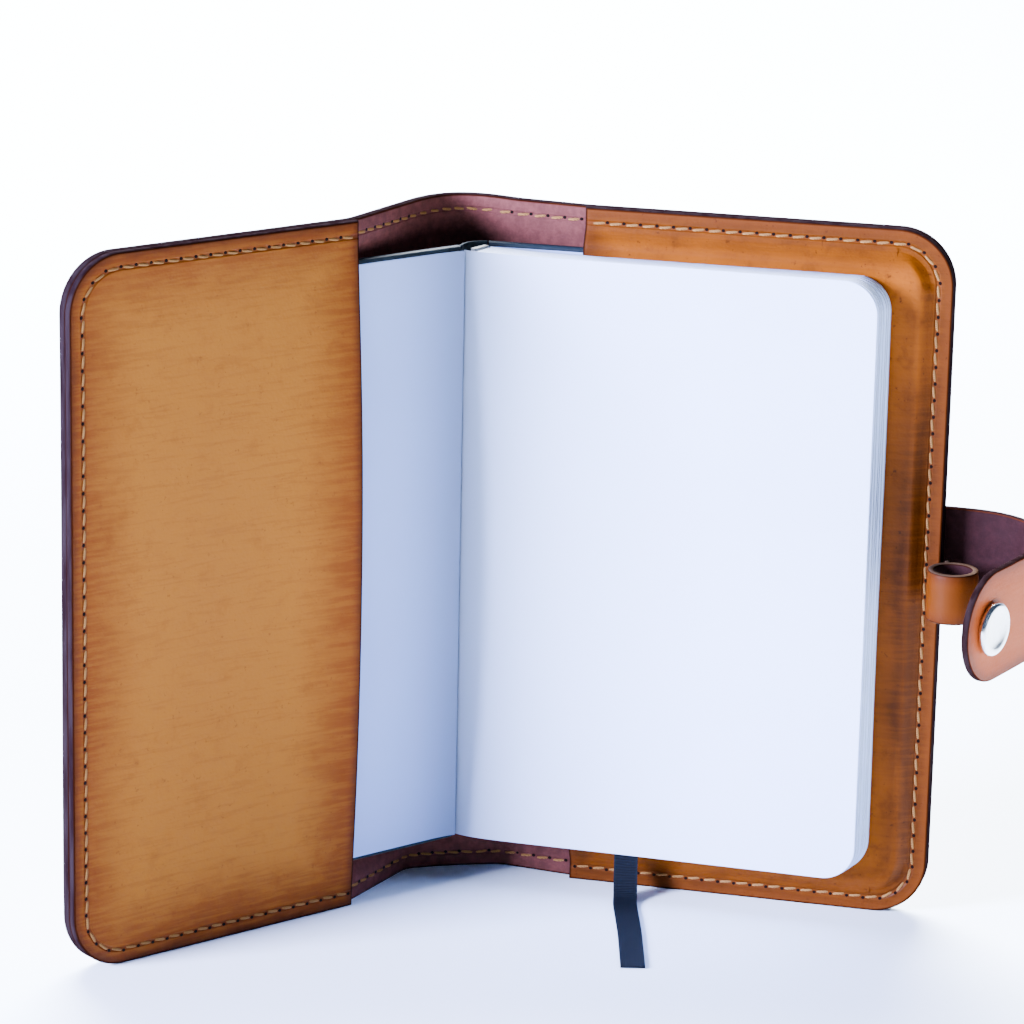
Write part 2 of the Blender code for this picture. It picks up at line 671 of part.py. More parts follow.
def make_strap_thread():
    """The box stitch that holds the strap's sewn end to the back cover."""
    inset = SEAM_INSET
    outer = (RIGHT.panel_length - STRAP_SEWN_LENGTH + inset,
             RIGHT.panel_length - CORNER_RADIUS)
    level = strap_level() - STRAP_THICKNESS / 2 - GAP
    low, high = STRAP_HEIGHT - STRAP_WIDTH / 2 + inset, STRAP_HEIGHT + STRAP_WIDTH / 2 - inset
    ring = [(outer[0], low), (outer[1], low), (outer[1], high), (outer[0], high)]
    inner = [(a + (THREAD_WIDTH if i in (0, 3) else -THREAD_WIDTH),
              z + (THREAD_WIDTH if i < 2 else -THREAD_WIDTH))
             for i, (a, z) in enumerate(ring)]
    vertices = [RIGHT.on_panel(a, lift, z) for lift in (level, level - THREAD_THICKNESS)
                for a, z in ring + inner]
    faces = []
    for i in range(4):
        j = (i + 1) % 4
        faces += [(i, j, 4 + j, 4 + i), (8 + i, 12 + i, 12 + j, 8 + j),
                  (i, 8 + i, 8 + j, j), (4 + i, 4 + j, 12 + j, 12 + i)]
    add_mesh("strap_thread", vertices, faces, "right_cover", THREAD, smooth=False)


def make_snap(centre, inward):
    """Cap and socket through the strap's tip, stud and post through the front cover."""
    half = STRAP_THICKNESS / 2
    cap = [(0, half + 2.0 * MM), (0.55 * SNAP_CAP_RADIUS, half + 1.75 * MM),
           (0.8 * SNAP_CAP_RADIUS, half + 1.9 * MM), (0.97 * SNAP_CAP_RADIUS, half + 1.5 * MM),
           (SNAP_CAP_RADIUS, half + 0.9 * MM), (0.94 * SNAP_CAP_RADIUS, half + GAP),
           (SNAP_SHANK_RADIUS, half + GAP), (SNAP_SHANK_RADIUS, -half), (0, -half)]
    turned("snap_cap", cap, centre, -inward, "strap_tip_body", STEEL, 28)
    deep = half + GAP + SNAP_SOCKET_DEPTH
    wall = SNAP_STUD_RADIUS + 0.5 * MM
    socket = [(0, half + GAP), (SNAP_SOCKET_RADIUS, half + GAP),
              (SNAP_SOCKET_RADIUS, deep - 0.8 * MM), (SNAP_SOCKET_RADIUS - 0.8 * MM, deep),
              (wall, deep), (wall, half + GAP + 0.5 * MM), (0, half + GAP + 0.5 * MM)]
    turned("snap_socket", socket, centre, inward, "strap_tip_body", STEEL, 24)

    along = LEFT.panel_length - STUD_FROM_FORE_EDGE
    place = LEFT.on_panel(along, -LEFT.dish, STRAP_HEIGHT)
    outward = -LEFT.panel_axes[1]
    hide = HIDE_THICKNESS / 2
    radius = SNAP_STUD_RADIUS
    stud = [(0, hide + GAP), (4.6 * MM, hide + GAP), (4.6 * MM, hide + 0.9 * MM),
            (0.75 * radius, hide + 1.1 * MM), (0.75 * radius, hide + 1.9 * MM),
            (radius, hide + 2.5 * MM), (0.8 * radius, hide + 3.1 * MM),
            (0, hide + 3.2 * MM)]
    turned("snap_stud", stud, place, outward, "left_cover", STEEL, 20)
    recess = 0.9 * MM
    post = [(0, hide), (SNAP_SHANK_RADIUS, hide), (SNAP_SHANK_RADIUS, -hide + recess - GAP),
            (4.0 * MM, -hide + recess - GAP), (4.0 * MM, -hide + 0.1 * MM),
            (0, -hide + 0.1 * MM)]
    turned("snap_post", post, place, outward, "left_cover", STEEL, 20)
    hole = [(0, -hide - 1 * MM), (4.4 * MM, -hide - 1 * MM), (4.4 * MM, -hide + recess),
            (SNAP_HOLE_RADIUS, -hide + recess), (SNAP_HOLE_RADIUS, hide + 1 * MM),
            (0, hide + 1 * MM)]
    return turned("stud_hole_cutter", hole, place, outward, "left_cover", STEEL, 24)


def make_pen_loop():
    """An oval leather loop whose tail stands against the back cover's fore edge."""
    flap_face = HIDE_THICKNESS / 2 + GAP + FLAP_THICKNESS
    centre = (RIGHT.panel_length + LOOP_OVERHANG,
              flap_face + THREAD_THICKNESS + GAP + LOOP_HALF_DEPTH)
    steps = 28
    tail_step = 19
    tail_start = RIGHT.panel_length + GAP
    vertices, faces = [], []
    for z in (LOOP_BOTTOM, LOOP_BOTTOM + LOOP_HEIGHT):
        for wall in (0.0, LOOP_WALL):
            for i in range(steps):
                angle = 2 * math.pi * i / steps
                along = centre[0] + (LOOP_HALF_WIDTH - wall) * math.cos(angle)
                inward = centre[1] + (LOOP_HALF_DEPTH - wall) * math.sin(angle)
                if wall == 0 and -0.5 < angle - 1.5 * math.pi < 0.1:
                    along = min(along, tail_start + (i - tail_step) * LOOP_WALL)
                    inward = 0.0
                vertices.append(RIGHT.on_panel(along, inward, z))
    for i in range(steps):
        j = (i + 1) % steps
        inner, top, top_inner = steps, 2 * steps, 3 * steps
        faces += [(i, j, inner + j, inner + i), (top + i, top_inner + i, top_inner + j, top + j),
                  (i, top + i, top + j, j), (inner + i, inner + j, top_inner + j, top_inner + i)]
    add_mesh("pen_loop", vertices, faces, "right_cover", TAN)


def centre_on_footprint():
    """Moves the whole model so that the origin is the centre of its footprint."""
    bpy.context.view_layer.update()
    corners = [item.matrix_world @ vertex.co for item in bpy.data.objects
               if item.type == 'MESH' and not item.hide_render
               and item.name != "ribbon_marker" for vertex in item.data.vertices]
    low = Vector([min(c[i] for c in corners) for i in range(3)])
    high = Vector([max(c[i] for c in corners) for i in range(3)])
    PIVOTS["spine"].location = -Vector(((low.x + high.x) / 2, (low.y + high.y) / 2, low.z))
    bpy.context.view_layer.update()


def main():
    for item in list(bpy.data.objects):
        bpy.data.objects.remove(item, do_unlink=True)
    make_pivots()
    make_spine()
    make_gusset(LEFT, "left_gusset", "left_gusset_body")
    make_gusset(RIGHT, "right_gusset", "right_gusset_body")
    left_panel = make_cover_panel(LEFT, "left_cover_panel", "left_cover")
    make_cover_panel(RIGHT, "right_cover_panel", "right_cover")
    make_pocket(LEFT, "left_pocket", "left_cover")
    make_pocket(RIGHT, "right_pocket", "right_cover")
    make_seam_thread(LEFT, "left_seam_thread", "left_cover")
    make_seam_thread(RIGHT, "right_seam_thread", "right_cover")
    make_board(LEFT, "front_board", "front_board_body")
    make_pastedown(LEFT, "front_pastedown", "front_board_body")
    make_board(RIGHT, "back_board", "book_block")
    make_pastedown(RIGHT, "back_pastedown", "book_block")
    make_signatures()
    make_turning_leaf()
    make_spine_parts()
    make_ribbon()
    centre, inward = make_strap()
    make_strap_thread()
    cut_away(left_panel, make_snap(centre, inward))
    make_pen_loop()
    centre_on_footprint()


main()
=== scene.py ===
"""Looks of a pocket notebook in a leather cover with a snap strap and a pen loop.

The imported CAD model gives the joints, the bodies and the sizes that the pieces follow.
Plan positions on a cover are (along, inward): along runs from the flex line to the fore
edge, inward points from the middle of the hide towards the reader.
"""
from __future__ import annotations

import json
import logging
import math
from dataclasses import dataclass, field
from enum import Enum
from typing import Callable, Sequence

import bpy
import numpy as np
from mathutils import Matrix, Vector


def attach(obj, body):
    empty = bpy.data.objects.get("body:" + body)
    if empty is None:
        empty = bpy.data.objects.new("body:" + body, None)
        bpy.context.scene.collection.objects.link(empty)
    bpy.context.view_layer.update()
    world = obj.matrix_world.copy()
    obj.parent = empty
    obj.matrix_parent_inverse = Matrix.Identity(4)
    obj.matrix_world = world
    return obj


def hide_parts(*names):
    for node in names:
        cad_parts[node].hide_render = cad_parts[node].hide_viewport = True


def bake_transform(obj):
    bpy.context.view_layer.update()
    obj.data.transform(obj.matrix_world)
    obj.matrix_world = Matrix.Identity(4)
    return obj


MM = 0.001
LOG = logging.getLogger("pocket_notebook")
Array = np.ndarray
Color = tuple[float, float, float]

COVER_HEIGHT = 168.0 * MM
HIDE = 2.5 * MM
FLAP = 2.0 * MM
SEAM_INSET = 3.6 * MM
STITCH_PITCH = 4.0 * MM
CORNER = 13.5 * MM
PAGE_BOTTOM = 11.0 * MM
PAGE_HEIGHT = 146.0 * MM
PAGE_WIDTH = 100.0 * MM
PAGE_CORNER = 8.0 * MM
STRAP_MIDDLE = 87.0 * MM
RIM_STEPS = np.array([0.0, 0.1, 0.3, 0.6, 1.1, 1.9, 2.8, 3.6, 4.4, 5.4, 7.2, 9.4]) * MM


class Face(Enum):
    """The two faces of a sheet of leather on the cover."""

    GRAIN = 1.0
    FLESH = -1.0


# ---- Layout -------------------------------------------------------------------------
def unit(vector: Array) -> Array:
    """Returns the vector at length 1."""
    return vector / np.linalg.norm(vector)


def smooth(share: Array) -> Array:
    """Returns 3t^2 - 2t^3 of a share held between 0 and 1."""
    share = np.clip(share, 0.0, 1.0)
    return share * share * (3.0 - 2.0 * share)


@dataclass
class CoverSide:
    """One half of the cover, as plan positions in metres.

    Args:
        sign: -1 for the front cover, 1 for the back cover.
        fold: plan point of the fold beside the spine.
        flex: plan point of the flex line where the panel begins.
        along: unit plan vector from the flex line to the fore edge.
        width: leather from the fold to the fore edge.
        dish: how far the hide bellies out behind its board.
        flap_lift: how far a board lifts the pocket flap.
        mouth: extra belly at the middle of the flap's mouth.
    """

    sign: float
    fold: Array
    flex: Array
    along: Array
    width: float
    dish: float
    flap_lift: float
    mouth: float
    inward: Array = field(init=False)
    gusset: float = field(init=False)
    panel: float = field(init=False)
    gusset_along: Array = field(init=False)

    def __post_init__(self) -> None:
        """Works out the inward vector, the gusset and the panel's length."""
        self.inward = self.sign * np.array([self.along[1], -self.along[0]])
        self.gusset = float(np.linalg.norm(self.flex - self.fold))
        self.gusset_along = unit(self.flex - self.fold)
        self.panel = self.width - self.gusset

    def flex_span(self) -> tuple[Array, Array]:
        """Returns where the hide's bend at the flex line starts and ends."""
        reach = 5.5 * MM
        return (np.append(self.flex - self.along * reach, 0),
                np.append(self.flex + self.along * reach, 0))

    def fold_span(self) -> tuple[Array, Array]:
        """Returns where the hide's bend at the fold starts and ends."""
        middle = np.array([self.sign, 0.0])
        return (np.append(self.fold - middle * 5 * MM, 0),
                np.append(self.fold + middle * 4 * MM, 0))

    def place(self, along: Array, inward: Array, up: Array) -> Array:
        """Returns 3-D points on the panel: flex + along a + inward b + z."""
        plan = (self.flex + np.multiply.outer(along, self.along)
                + np.multiply.outer(np.broadcast_to(inward, np.shape(along)), self.inward))
        return np.concatenate([plan, np.asarray(up, float)[..., None]], axis=-1)

    def belly(self, along: Array, up: Array) -> Array:
        """Returns 1 over the board, 0 on the seam, and a smooth slope between."""
        edge = np.minimum(up, COVER_HEIGHT - up)
        across = (edge - 4.1 * MM) / (5.6 * MM)
        down = (self.panel - along - 4.1 * MM) / (3.4 * MM)
        out = np.hypot(np.maximum(along - self.panel + CORNER, 0),
                       np.maximum(CORNER - edge, 0))
        corner = (CORNER - out - 5.2 * MM) / (2.4 * MM)
        inside = (along > self.panel - CORNER) & (edge < CORNER)
        return smooth(np.minimum(np.minimum(across, down), np.where(inside, corner, 1.0)))

    def flap_middle(self, along: Array, up: Array) -> Array:
        """Returns the inward position of the flap's middle layer."""
        rest = HIDE / 2 + 0.1 * MM + FLAP / 2
        bow = np.clip(1 - along / (0.5 * self.panel), 0, 1) ** 2
        ripple = 0.12 * MM * np.sin(up * 61.0 + along * 35.0) * self.belly(along, up)
        return (rest + self.flap_lift * self.belly(along, up) + ripple
                + self.mouth * bow * np.sin(math.pi * up / COVER_HEIGHT))


@dataclass
class Layout:
    """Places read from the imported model's joints.

    Args:
        joints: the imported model's joints by name.
    """

    joints: dict
    left: CoverSide = field(init=False)
    right: CoverSide = field(init=False)
    middle: Array = field(init=False)
    half_chord: float = field(init=False)
    arch: float = 14.0 * MM

    def __post_init__(self) -> None:
        """Builds the two halves from the fold and flex hinges and the board slides."""
        plan = {name: np.array(j.get("pos_m", (0, 0, 0))[:2], float)
                for name, j in self.joints.items()}
        slide = {name: np.array(self.joints[name]["axis"][:2], float)
                 for name in ("front_board_creep", "back_board_creep")}
        self.left = CoverSide(-1.0, plan["fold_left"], plan["flex_left"],
                              slide["front_board_creep"], 107.0 * MM,
                              3.0 * MM, 0.0, 4.5 * MM)
        self.right = CoverSide(1.0, plan["fold_right"], plan["flex_right"],
                               slide["back_board_creep"], 107.0 * MM,
                               0.75 * MM, 2.25 * MM, 0.0)
        self.middle = (self.left.fold + self.right.fold) / 2
        self.half_chord = float(np.linalg.norm(self.right.fold - self.left.fold)) / 2

    def rise(self, up: Array) -> Array:
        """Returns the crown's height over the chord: it leans back towards the top."""
        share = np.clip(up / COVER_HEIGHT, 0, 1)
        return 0.8 * MM + 6.9 * MM * share ** 1.15

    def raw_path(self, station: Array, up: Array) -> Array:
        """Returns plan points of the hide's middle layer with sharp bends.

        The station is 0 on the crown, grows towards the back cover, and follows the
        parabola of the spine, then the gusset's line, then the panel's line.
        """
        far = np.abs(station)
        points = np.empty(station.shape + (2,))
        share = np.clip(station / self.arch, -1, 1)
        points[..., 0] = self.middle[0] + self.half_chord * share
        points[..., 1] = self.middle[1] + self.rise(up) * (1 - share ** 2)
        for side in (self.left, self.right):
            on_side = station * side.sign > self.arch
            run = np.clip(far - self.arch, 0, side.gusset)[..., None]
            rest = np.maximum(far - self.arch - side.gusset, 0)[..., None]
            line = side.fold + run * side.gusset_along + rest * side.along
            points = np.where(on_side[..., None], line, points)
        return points

    def path(self, station: Array, up: Array, reach: float = 4.5 * MM) -> Array:
        """Returns the path with its bends rounded: a weighted mean over near stations."""
        offsets = np.linspace(-1, 1, 13)
        weights = 1 + np.cos(math.pi * offsets)
        weights /= weights.sum()
        total = np.zeros(station.shape + (2,))
        for offset, weight in zip(offsets, weights):
            total += weight * self.raw_path(station + offset * reach, up)
        return total

    def hide(self, station: Array, up: Array, lift: Array) -> Array:
        """Returns 3-D points at a distance outward from the hide's middle layer."""
        step = 0.2 * MM
        here = self.path(station, up)
        run = self.path(station + step, up) - self.path(station - step, up)
        run /= np.linalg.norm(run, axis=-1, keepdims=True)
        outward = np.stack([-run[..., 1], run[..., 0]], axis=-1)
        dish = np.zeros(station.shape)
        for side in (self.left, self.right):
            along = station * side.sign - self.arch - side.gusset
            fade = np.clip(1 + along / side.gusset, 0, 1)
            belly = side.dish * side.belly(np.maximum(along, 0), up) * smooth(fade)
            dish = np.where(station * side.sign > 0, belly, dish)
        ripple = 0.18 * MM * np.sin(station * 43.0 + up * 29.0)
        ripple = ripple * smooth((np.minimum(up, COVER_HEIGHT - up) - 5 * MM) / (20 * MM))
        plan = here + outward * (dish + ripple + lift)[..., None]
        return np.concatenate([plan, up[..., None]], axis=-1)


# ---- Grids and meshes ---------------------------------------------------------------
@dataclass
class Grid:
    """Stations of a plate: along, up, and the distance in from its outline."""

    along: Array
    up: Array
    inset: Array


def spread(stations: Array, least: float = 0.04 * MM) -> Array:
    """Returns sorted stations without those closer to the last kept one than least."""
    stations = np.sort(stations)
    kept = [stations[0]]
    for station in stations[1:-1]:
        if station - kept[-1] > least and stations[-1] - station > least:
            kept.append(station)
    return np.array(kept + [stations[-1]])


def plate_grid(start: float, end: float, height: float, radius: float,
               columns: int = 60, rows: int = 50, rim: Array = RIM_STEPS,
               far_rim: bool = True, near_rim: bool = False) -> Grid:
    """Stations of a plate whose two corners at its end are rounded.

    Inside a corner square, a point at (x, y) from the arc's centre moves to the circle
    of radius max(x, y), so that lines of the grid run parallel to the outline.

    Args:
        start: along position of the square end.
        end: along position of the rounded end.
        height: the plate's height.
        radius: the corners' radius.
        columns: stations between the rims.
        rows: stations between the two long rims.
        rim: distances from the outline that get a line of their own.
        far_rim: whether the end at ``end`` has a rim.
        near_rim: whether the end at ``start`` has a rim.

    Returns:
        The plate's stations.
    """
    edge = rim[-1]
    low = start + rim if near_rim else np.array([start])
    high = end - rim[::-1] if far_rim else np.array([end])
    a = np.concatenate([low, np.linspace(low[-1], high[0], columns), high])
    z = np.concatenate([rim, np.linspace(edge, height - edge, rows)[1:-1],
                        height - rim[::-1]])
    if radius > 0:
        turn = radius * np.linspace(0.04, 1.0, 14)
        z = np.concatenate([z, turn, height - turn])
        a = np.concatenate([a, end - turn]) if far_rim else a
    a, z = spread(a), spread(z)
    along, up = np.meshgrid(a, z, indexing="ij")
    side = np.sign(up - height / 2)
    x = np.maximum(0, along - (end - radius))
    y = np.maximum(0, np.abs(up - height / 2) - (height / 2 - radius))
    corner = (x > 0) & (y > 0) & far_rim
    largest = np.maximum(x, y)
    pull = np.where(corner, largest / np.maximum(np.hypot(x, y), 1e-9), 1.0)
    inset = np.minimum(up, height - up)
    if far_rim:
        inset = np.minimum(inset, end - along)
    if near_rim:
        inset = np.minimum(inset, along - start)
    inset = np.where(corner, radius - largest, inset)
    along = np.where(corner, end - radius + x * pull, along)
    up = np.where(corner, height / 2 + side * (height / 2 - radius + y * pull), up)
    return Grid(along, up, np.maximum(inset, 0.0))


def rounded_half(inset: Array, thickness: float, radius: float = 0.6 * MM) -> Array:
    """Half the thickness at a distance from the edge: flat, then a round shoulder."""
    share = np.clip(inset / radius, 0, 1)
    return thickness / 2 * (0.5 + 0.5 * np.sqrt(np.maximum(1 - (1 - share) ** 2, 0)))


def link(name: str, points: Array, faces: Array | list,
         values: dict[str, Array] | None = None, angle: float = 50.0) -> bpy.types.Object:
    """Makes an object of a mesh with smooth faces and float attributes.

    Args:
        name: the piece's name.
        points: (n, 3) positions.
        faces: vertex indices of each face.
        values: attributes by name, one value for each vertex.
        angle: edges sharper than this, in degrees, stay sharp.

    Returns:
        The new object.
    """
    mesh = bpy.data.meshes.new(name)
    faces = faces.tolist() if isinstance(faces, np.ndarray) else faces
    mesh.from_pydata(np.asarray(points, float).reshape(-1, 3).tolist(), [], faces)
    for key, data in (values or {}).items():
        layer = mesh.attributes.new(key, "FLOAT", "POINT")
        layer.data.foreach_set("value", np.asarray(data, np.float32).ravel())
    mesh.shade_smooth()
    mesh.set_sharp_from_angle(angle=math.radians(angle))
    item = bpy.data.objects.new(name, mesh)
    bpy.context.scene.collection.objects.link(item)
    return item


def sheet(name: str, front: Array, back: Array,
          values: dict[str, Array] | None = None, angle: float = 50.0) -> bpy.types.Object:
    """Closes two equal grids of points into one body.

    Args:
        name: the piece's name.
        front: (columns, rows, 3) points of one face.
        back: the same points on the other face.
        values: attributes by name, each a pair of grids or one grid for both faces.
        angle: edges sharper than this stay sharp.

    Returns:
        The new object, with its faces pointing outwards.
    """
    columns, rows = front.shape[:2]
    index = np.arange(columns * rows).reshape(columns, rows)
    quads = np.stack([index[:-1, :-1], index[:-1, 1:], index[1:, 1:], index[1:, :-1]],
                     axis=-1).reshape(-1, 4)
    rim = np.concatenate([index[:, 0], index[-1, 1:], index[-2::-1, -1], index[0, -2:0:-1]])
    after = np.roll(rim, -1)
    layer = columns * rows
    walls = np.stack([rim, after, after + layer, rim + layer], axis=-1)
    faces = np.concatenate([quads, quads[:, ::-1] + layer, walls])
    points = np.concatenate([front.reshape(-1, 3), back.reshape(-1, 3)])
    a, b, c = (points[faces[:, i]] for i in range(3))
    d = points[faces[:, 3]]
    volume = (np.einsum("ij,ij->i", a, np.cross(b, c))
              + np.einsum("ij,ij->i", a, np.cross(c, d))).sum()
    if volume < 0:
        faces = faces[:, ::-1]
    both = {}
    for key, data in (values or {}).items():
        pair = data if isinstance(data, tuple) else (data, data)
        both[key] = np.concatenate([np.asarray(g, float).ravel() for g in pair])
    return link(name, points, faces, both, angle)


def swept(name: str, rings: Array, closed: bool,
          values: dict[str, Array] | None = None, angle: float = 50.0) -> bpy.types.Object:
    """Joins equal closed rings of points into one body.

    Args:
        name: the piece's name.
        rings: (rings, points, 3) positions.
        closed: whether the last ring joins the first; otherwise both ends are capped.
        values: attributes by name, one value for each point.
        angle: edges sharper than this, in degrees, stay sharp.

    Returns:
        The new object, with its faces pointing outwards.
    """
    count, size = rings.shape[:2]
    index = np.arange(count * size).reshape(count, size)
    following = np.roll(index, -1, axis=0) if closed else index[1:]
    here = index if closed else index[:-1]
    faces = np.stack([here, np.roll(here, -1, axis=1), np.roll(following, -1, axis=1),
                      following], axis=-1).reshape(-1, 4).tolist()
    if not closed:
        faces += [index[0, ::-1].tolist(), index[-1].tolist()]
    points = rings.reshape(-1, 3)
    volume = 0.0
    for face in faces:
        p = points[face]
        volume += np.einsum("ij,ij->i", np.broadcast_to(p[0], (len(face) - 2, 3)),
                            np.cross(p[1:-1], p[2:])).sum()
    if volume < 0:
        faces = [face[::-1] for face in faces]
    return link(name, points, faces, values, angle)


def lathe(name: str, profile: Sequence[tuple[float, float]], centre: Array, axis: Array,
          steps: int = 56) -> bpy.types.Object:
    """Turns a (radius, height) profile in mm about an axis; its ends are closed."""
    spin = np.array(Vector(axis).to_track_quat("Z", "Y").to_matrix())
    turn = np.linspace(0, 2 * math.pi, steps, endpoint=False)
    flat = np.array(profile) * MM
    rings = np.stack([np.outer(flat[:, 0], np.cos(turn)), np.outer(flat[:, 0], np.sin(turn)),
                      np.broadcast_to(flat[:, 1:], (len(flat), steps))], axis=-1)
    return swept(name, rings @ spin.T + centre, closed=False, angle=40)


# ---- Finishes -----------------------------------------------------------------------
class Nodes:
    """A short way to write a material's node tree."""

    def __init__(self, name: str) -> None:
        """Makes a material with one Principled shader."""
        self.material = bpy.data.materials.new(name)
        self.material.use_nodes = True
        self.tree = self.material.node_tree
        self.shader = self.tree.nodes["Principled BSDF"]
        self.place = self.add("ShaderNodeTexCoord").outputs["Object"]

    def add(self, kind: str, **settings: object) -> bpy.types.Node:
        """Adds a node with these properties."""
        node = self.tree.nodes.new(kind)
        for key, value in settings.items():
            setattr(node, key, value)
        return node

    def feed(self, socket: bpy.types.NodeSocket, value: object) -> None:
        """Links a socket to another, or sets its number or colour."""
        if isinstance(value, bpy.types.NodeSocket):
            self.tree.links.new(value, socket)
        elif isinstance(value, tuple) and len(value) == 3 and socket.type == "RGBA":
            socket.default_value = (*value, 1.0)
        else:
            socket.default_value = value

    def math(self, operation: str, *values: object, clamp: bool = False) -> object:
        """Returns the result of a Math node."""
        node = self.add("ShaderNodeMath", operation=operation, use_clamp=clamp)
        for socket, value in zip(node.inputs, values):
            self.feed(socket, value)
        return node.outputs[0]

    def noise(self, scale: float, detail: float = 3.0, stretch: tuple = (1, 1, 1),
              rough: float = 0.5, source: object = None) -> object:
        """Returns noise from 0 to 1 on object coordinates, stretched along the axes."""
        mapping = self.add("ShaderNodeMapping")
        mapping.inputs["Scale"].default_value = stretch
        self.feed(mapping.inputs["Vector"], source or self.place)
        node = self.add("ShaderNodeTexNoise")
        self.feed(node.inputs["Vector"], mapping.outputs[0])
        node.inputs["Scale"].default_value = scale
        node.inputs["Detail"].default_value = detail
        node.inputs["Roughness"].default_value = rough
        return node.outputs["Fac"]

    def cells(self, scale: float) -> object:
        """Returns the distance of a Voronoi pattern with soft valleys."""
        node = self.add("ShaderNodeTexVoronoi", feature="SMOOTH_F1")
        self.feed(node.inputs["Vector"], self.place)
        node.inputs["Scale"].default_value = scale
        return node.outputs["Distance"]

    def span(self, value: object, low: float, high: float, to_low: float = 0.0,
             to_high: float = 1.0) -> object:
        """Returns a value mapped smoothly from one range to another."""
        node = self.add("ShaderNodeMapRange", interpolation_type="SMOOTHSTEP")
        for socket, number in zip(node.inputs, (value, low, high, to_low, to_high)):
            self.feed(socket, number)
        return node.outputs[0]

    def mix(self, share: object, first: object, second: object) -> object:
        """Returns a mix of two colours."""
        node = self.add("ShaderNodeMix", data_type="RGBA")
        self.feed(node.inputs[0], share)
        self.feed(node.inputs[6], first)
        self.feed(node.inputs[7], second)
        return node.outputs[2]

    def attribute(self, name: str) -> object:
        """Returns a float attribute of the piece."""
        return self.add("ShaderNodeAttribute", attribute_name=name).outputs["Fac"]

    def bump(self, height: object, depth: float, strength: float = 1.0,
             after: object = None) -> object:
        """Returns a bumped normal; depth is in metres."""
        node = self.add("ShaderNodeBump")
        node.inputs["Strength"].default_value = strength
        node.inputs["Distance"].default_value = depth
        self.feed(node.inputs["Height"], height)
        if after is not None:
            self.feed(node.inputs["Normal"], after)
        return node.outputs[0]

    def finish(self, **inputs: object) -> bpy.types.Material:
        """Sets the shader's inputs; an underscore in a name stands for a space."""
        for key, value in inputs.items():
            self.feed(self.shader.inputs[key.replace("_", " ")], value)
        return self.material


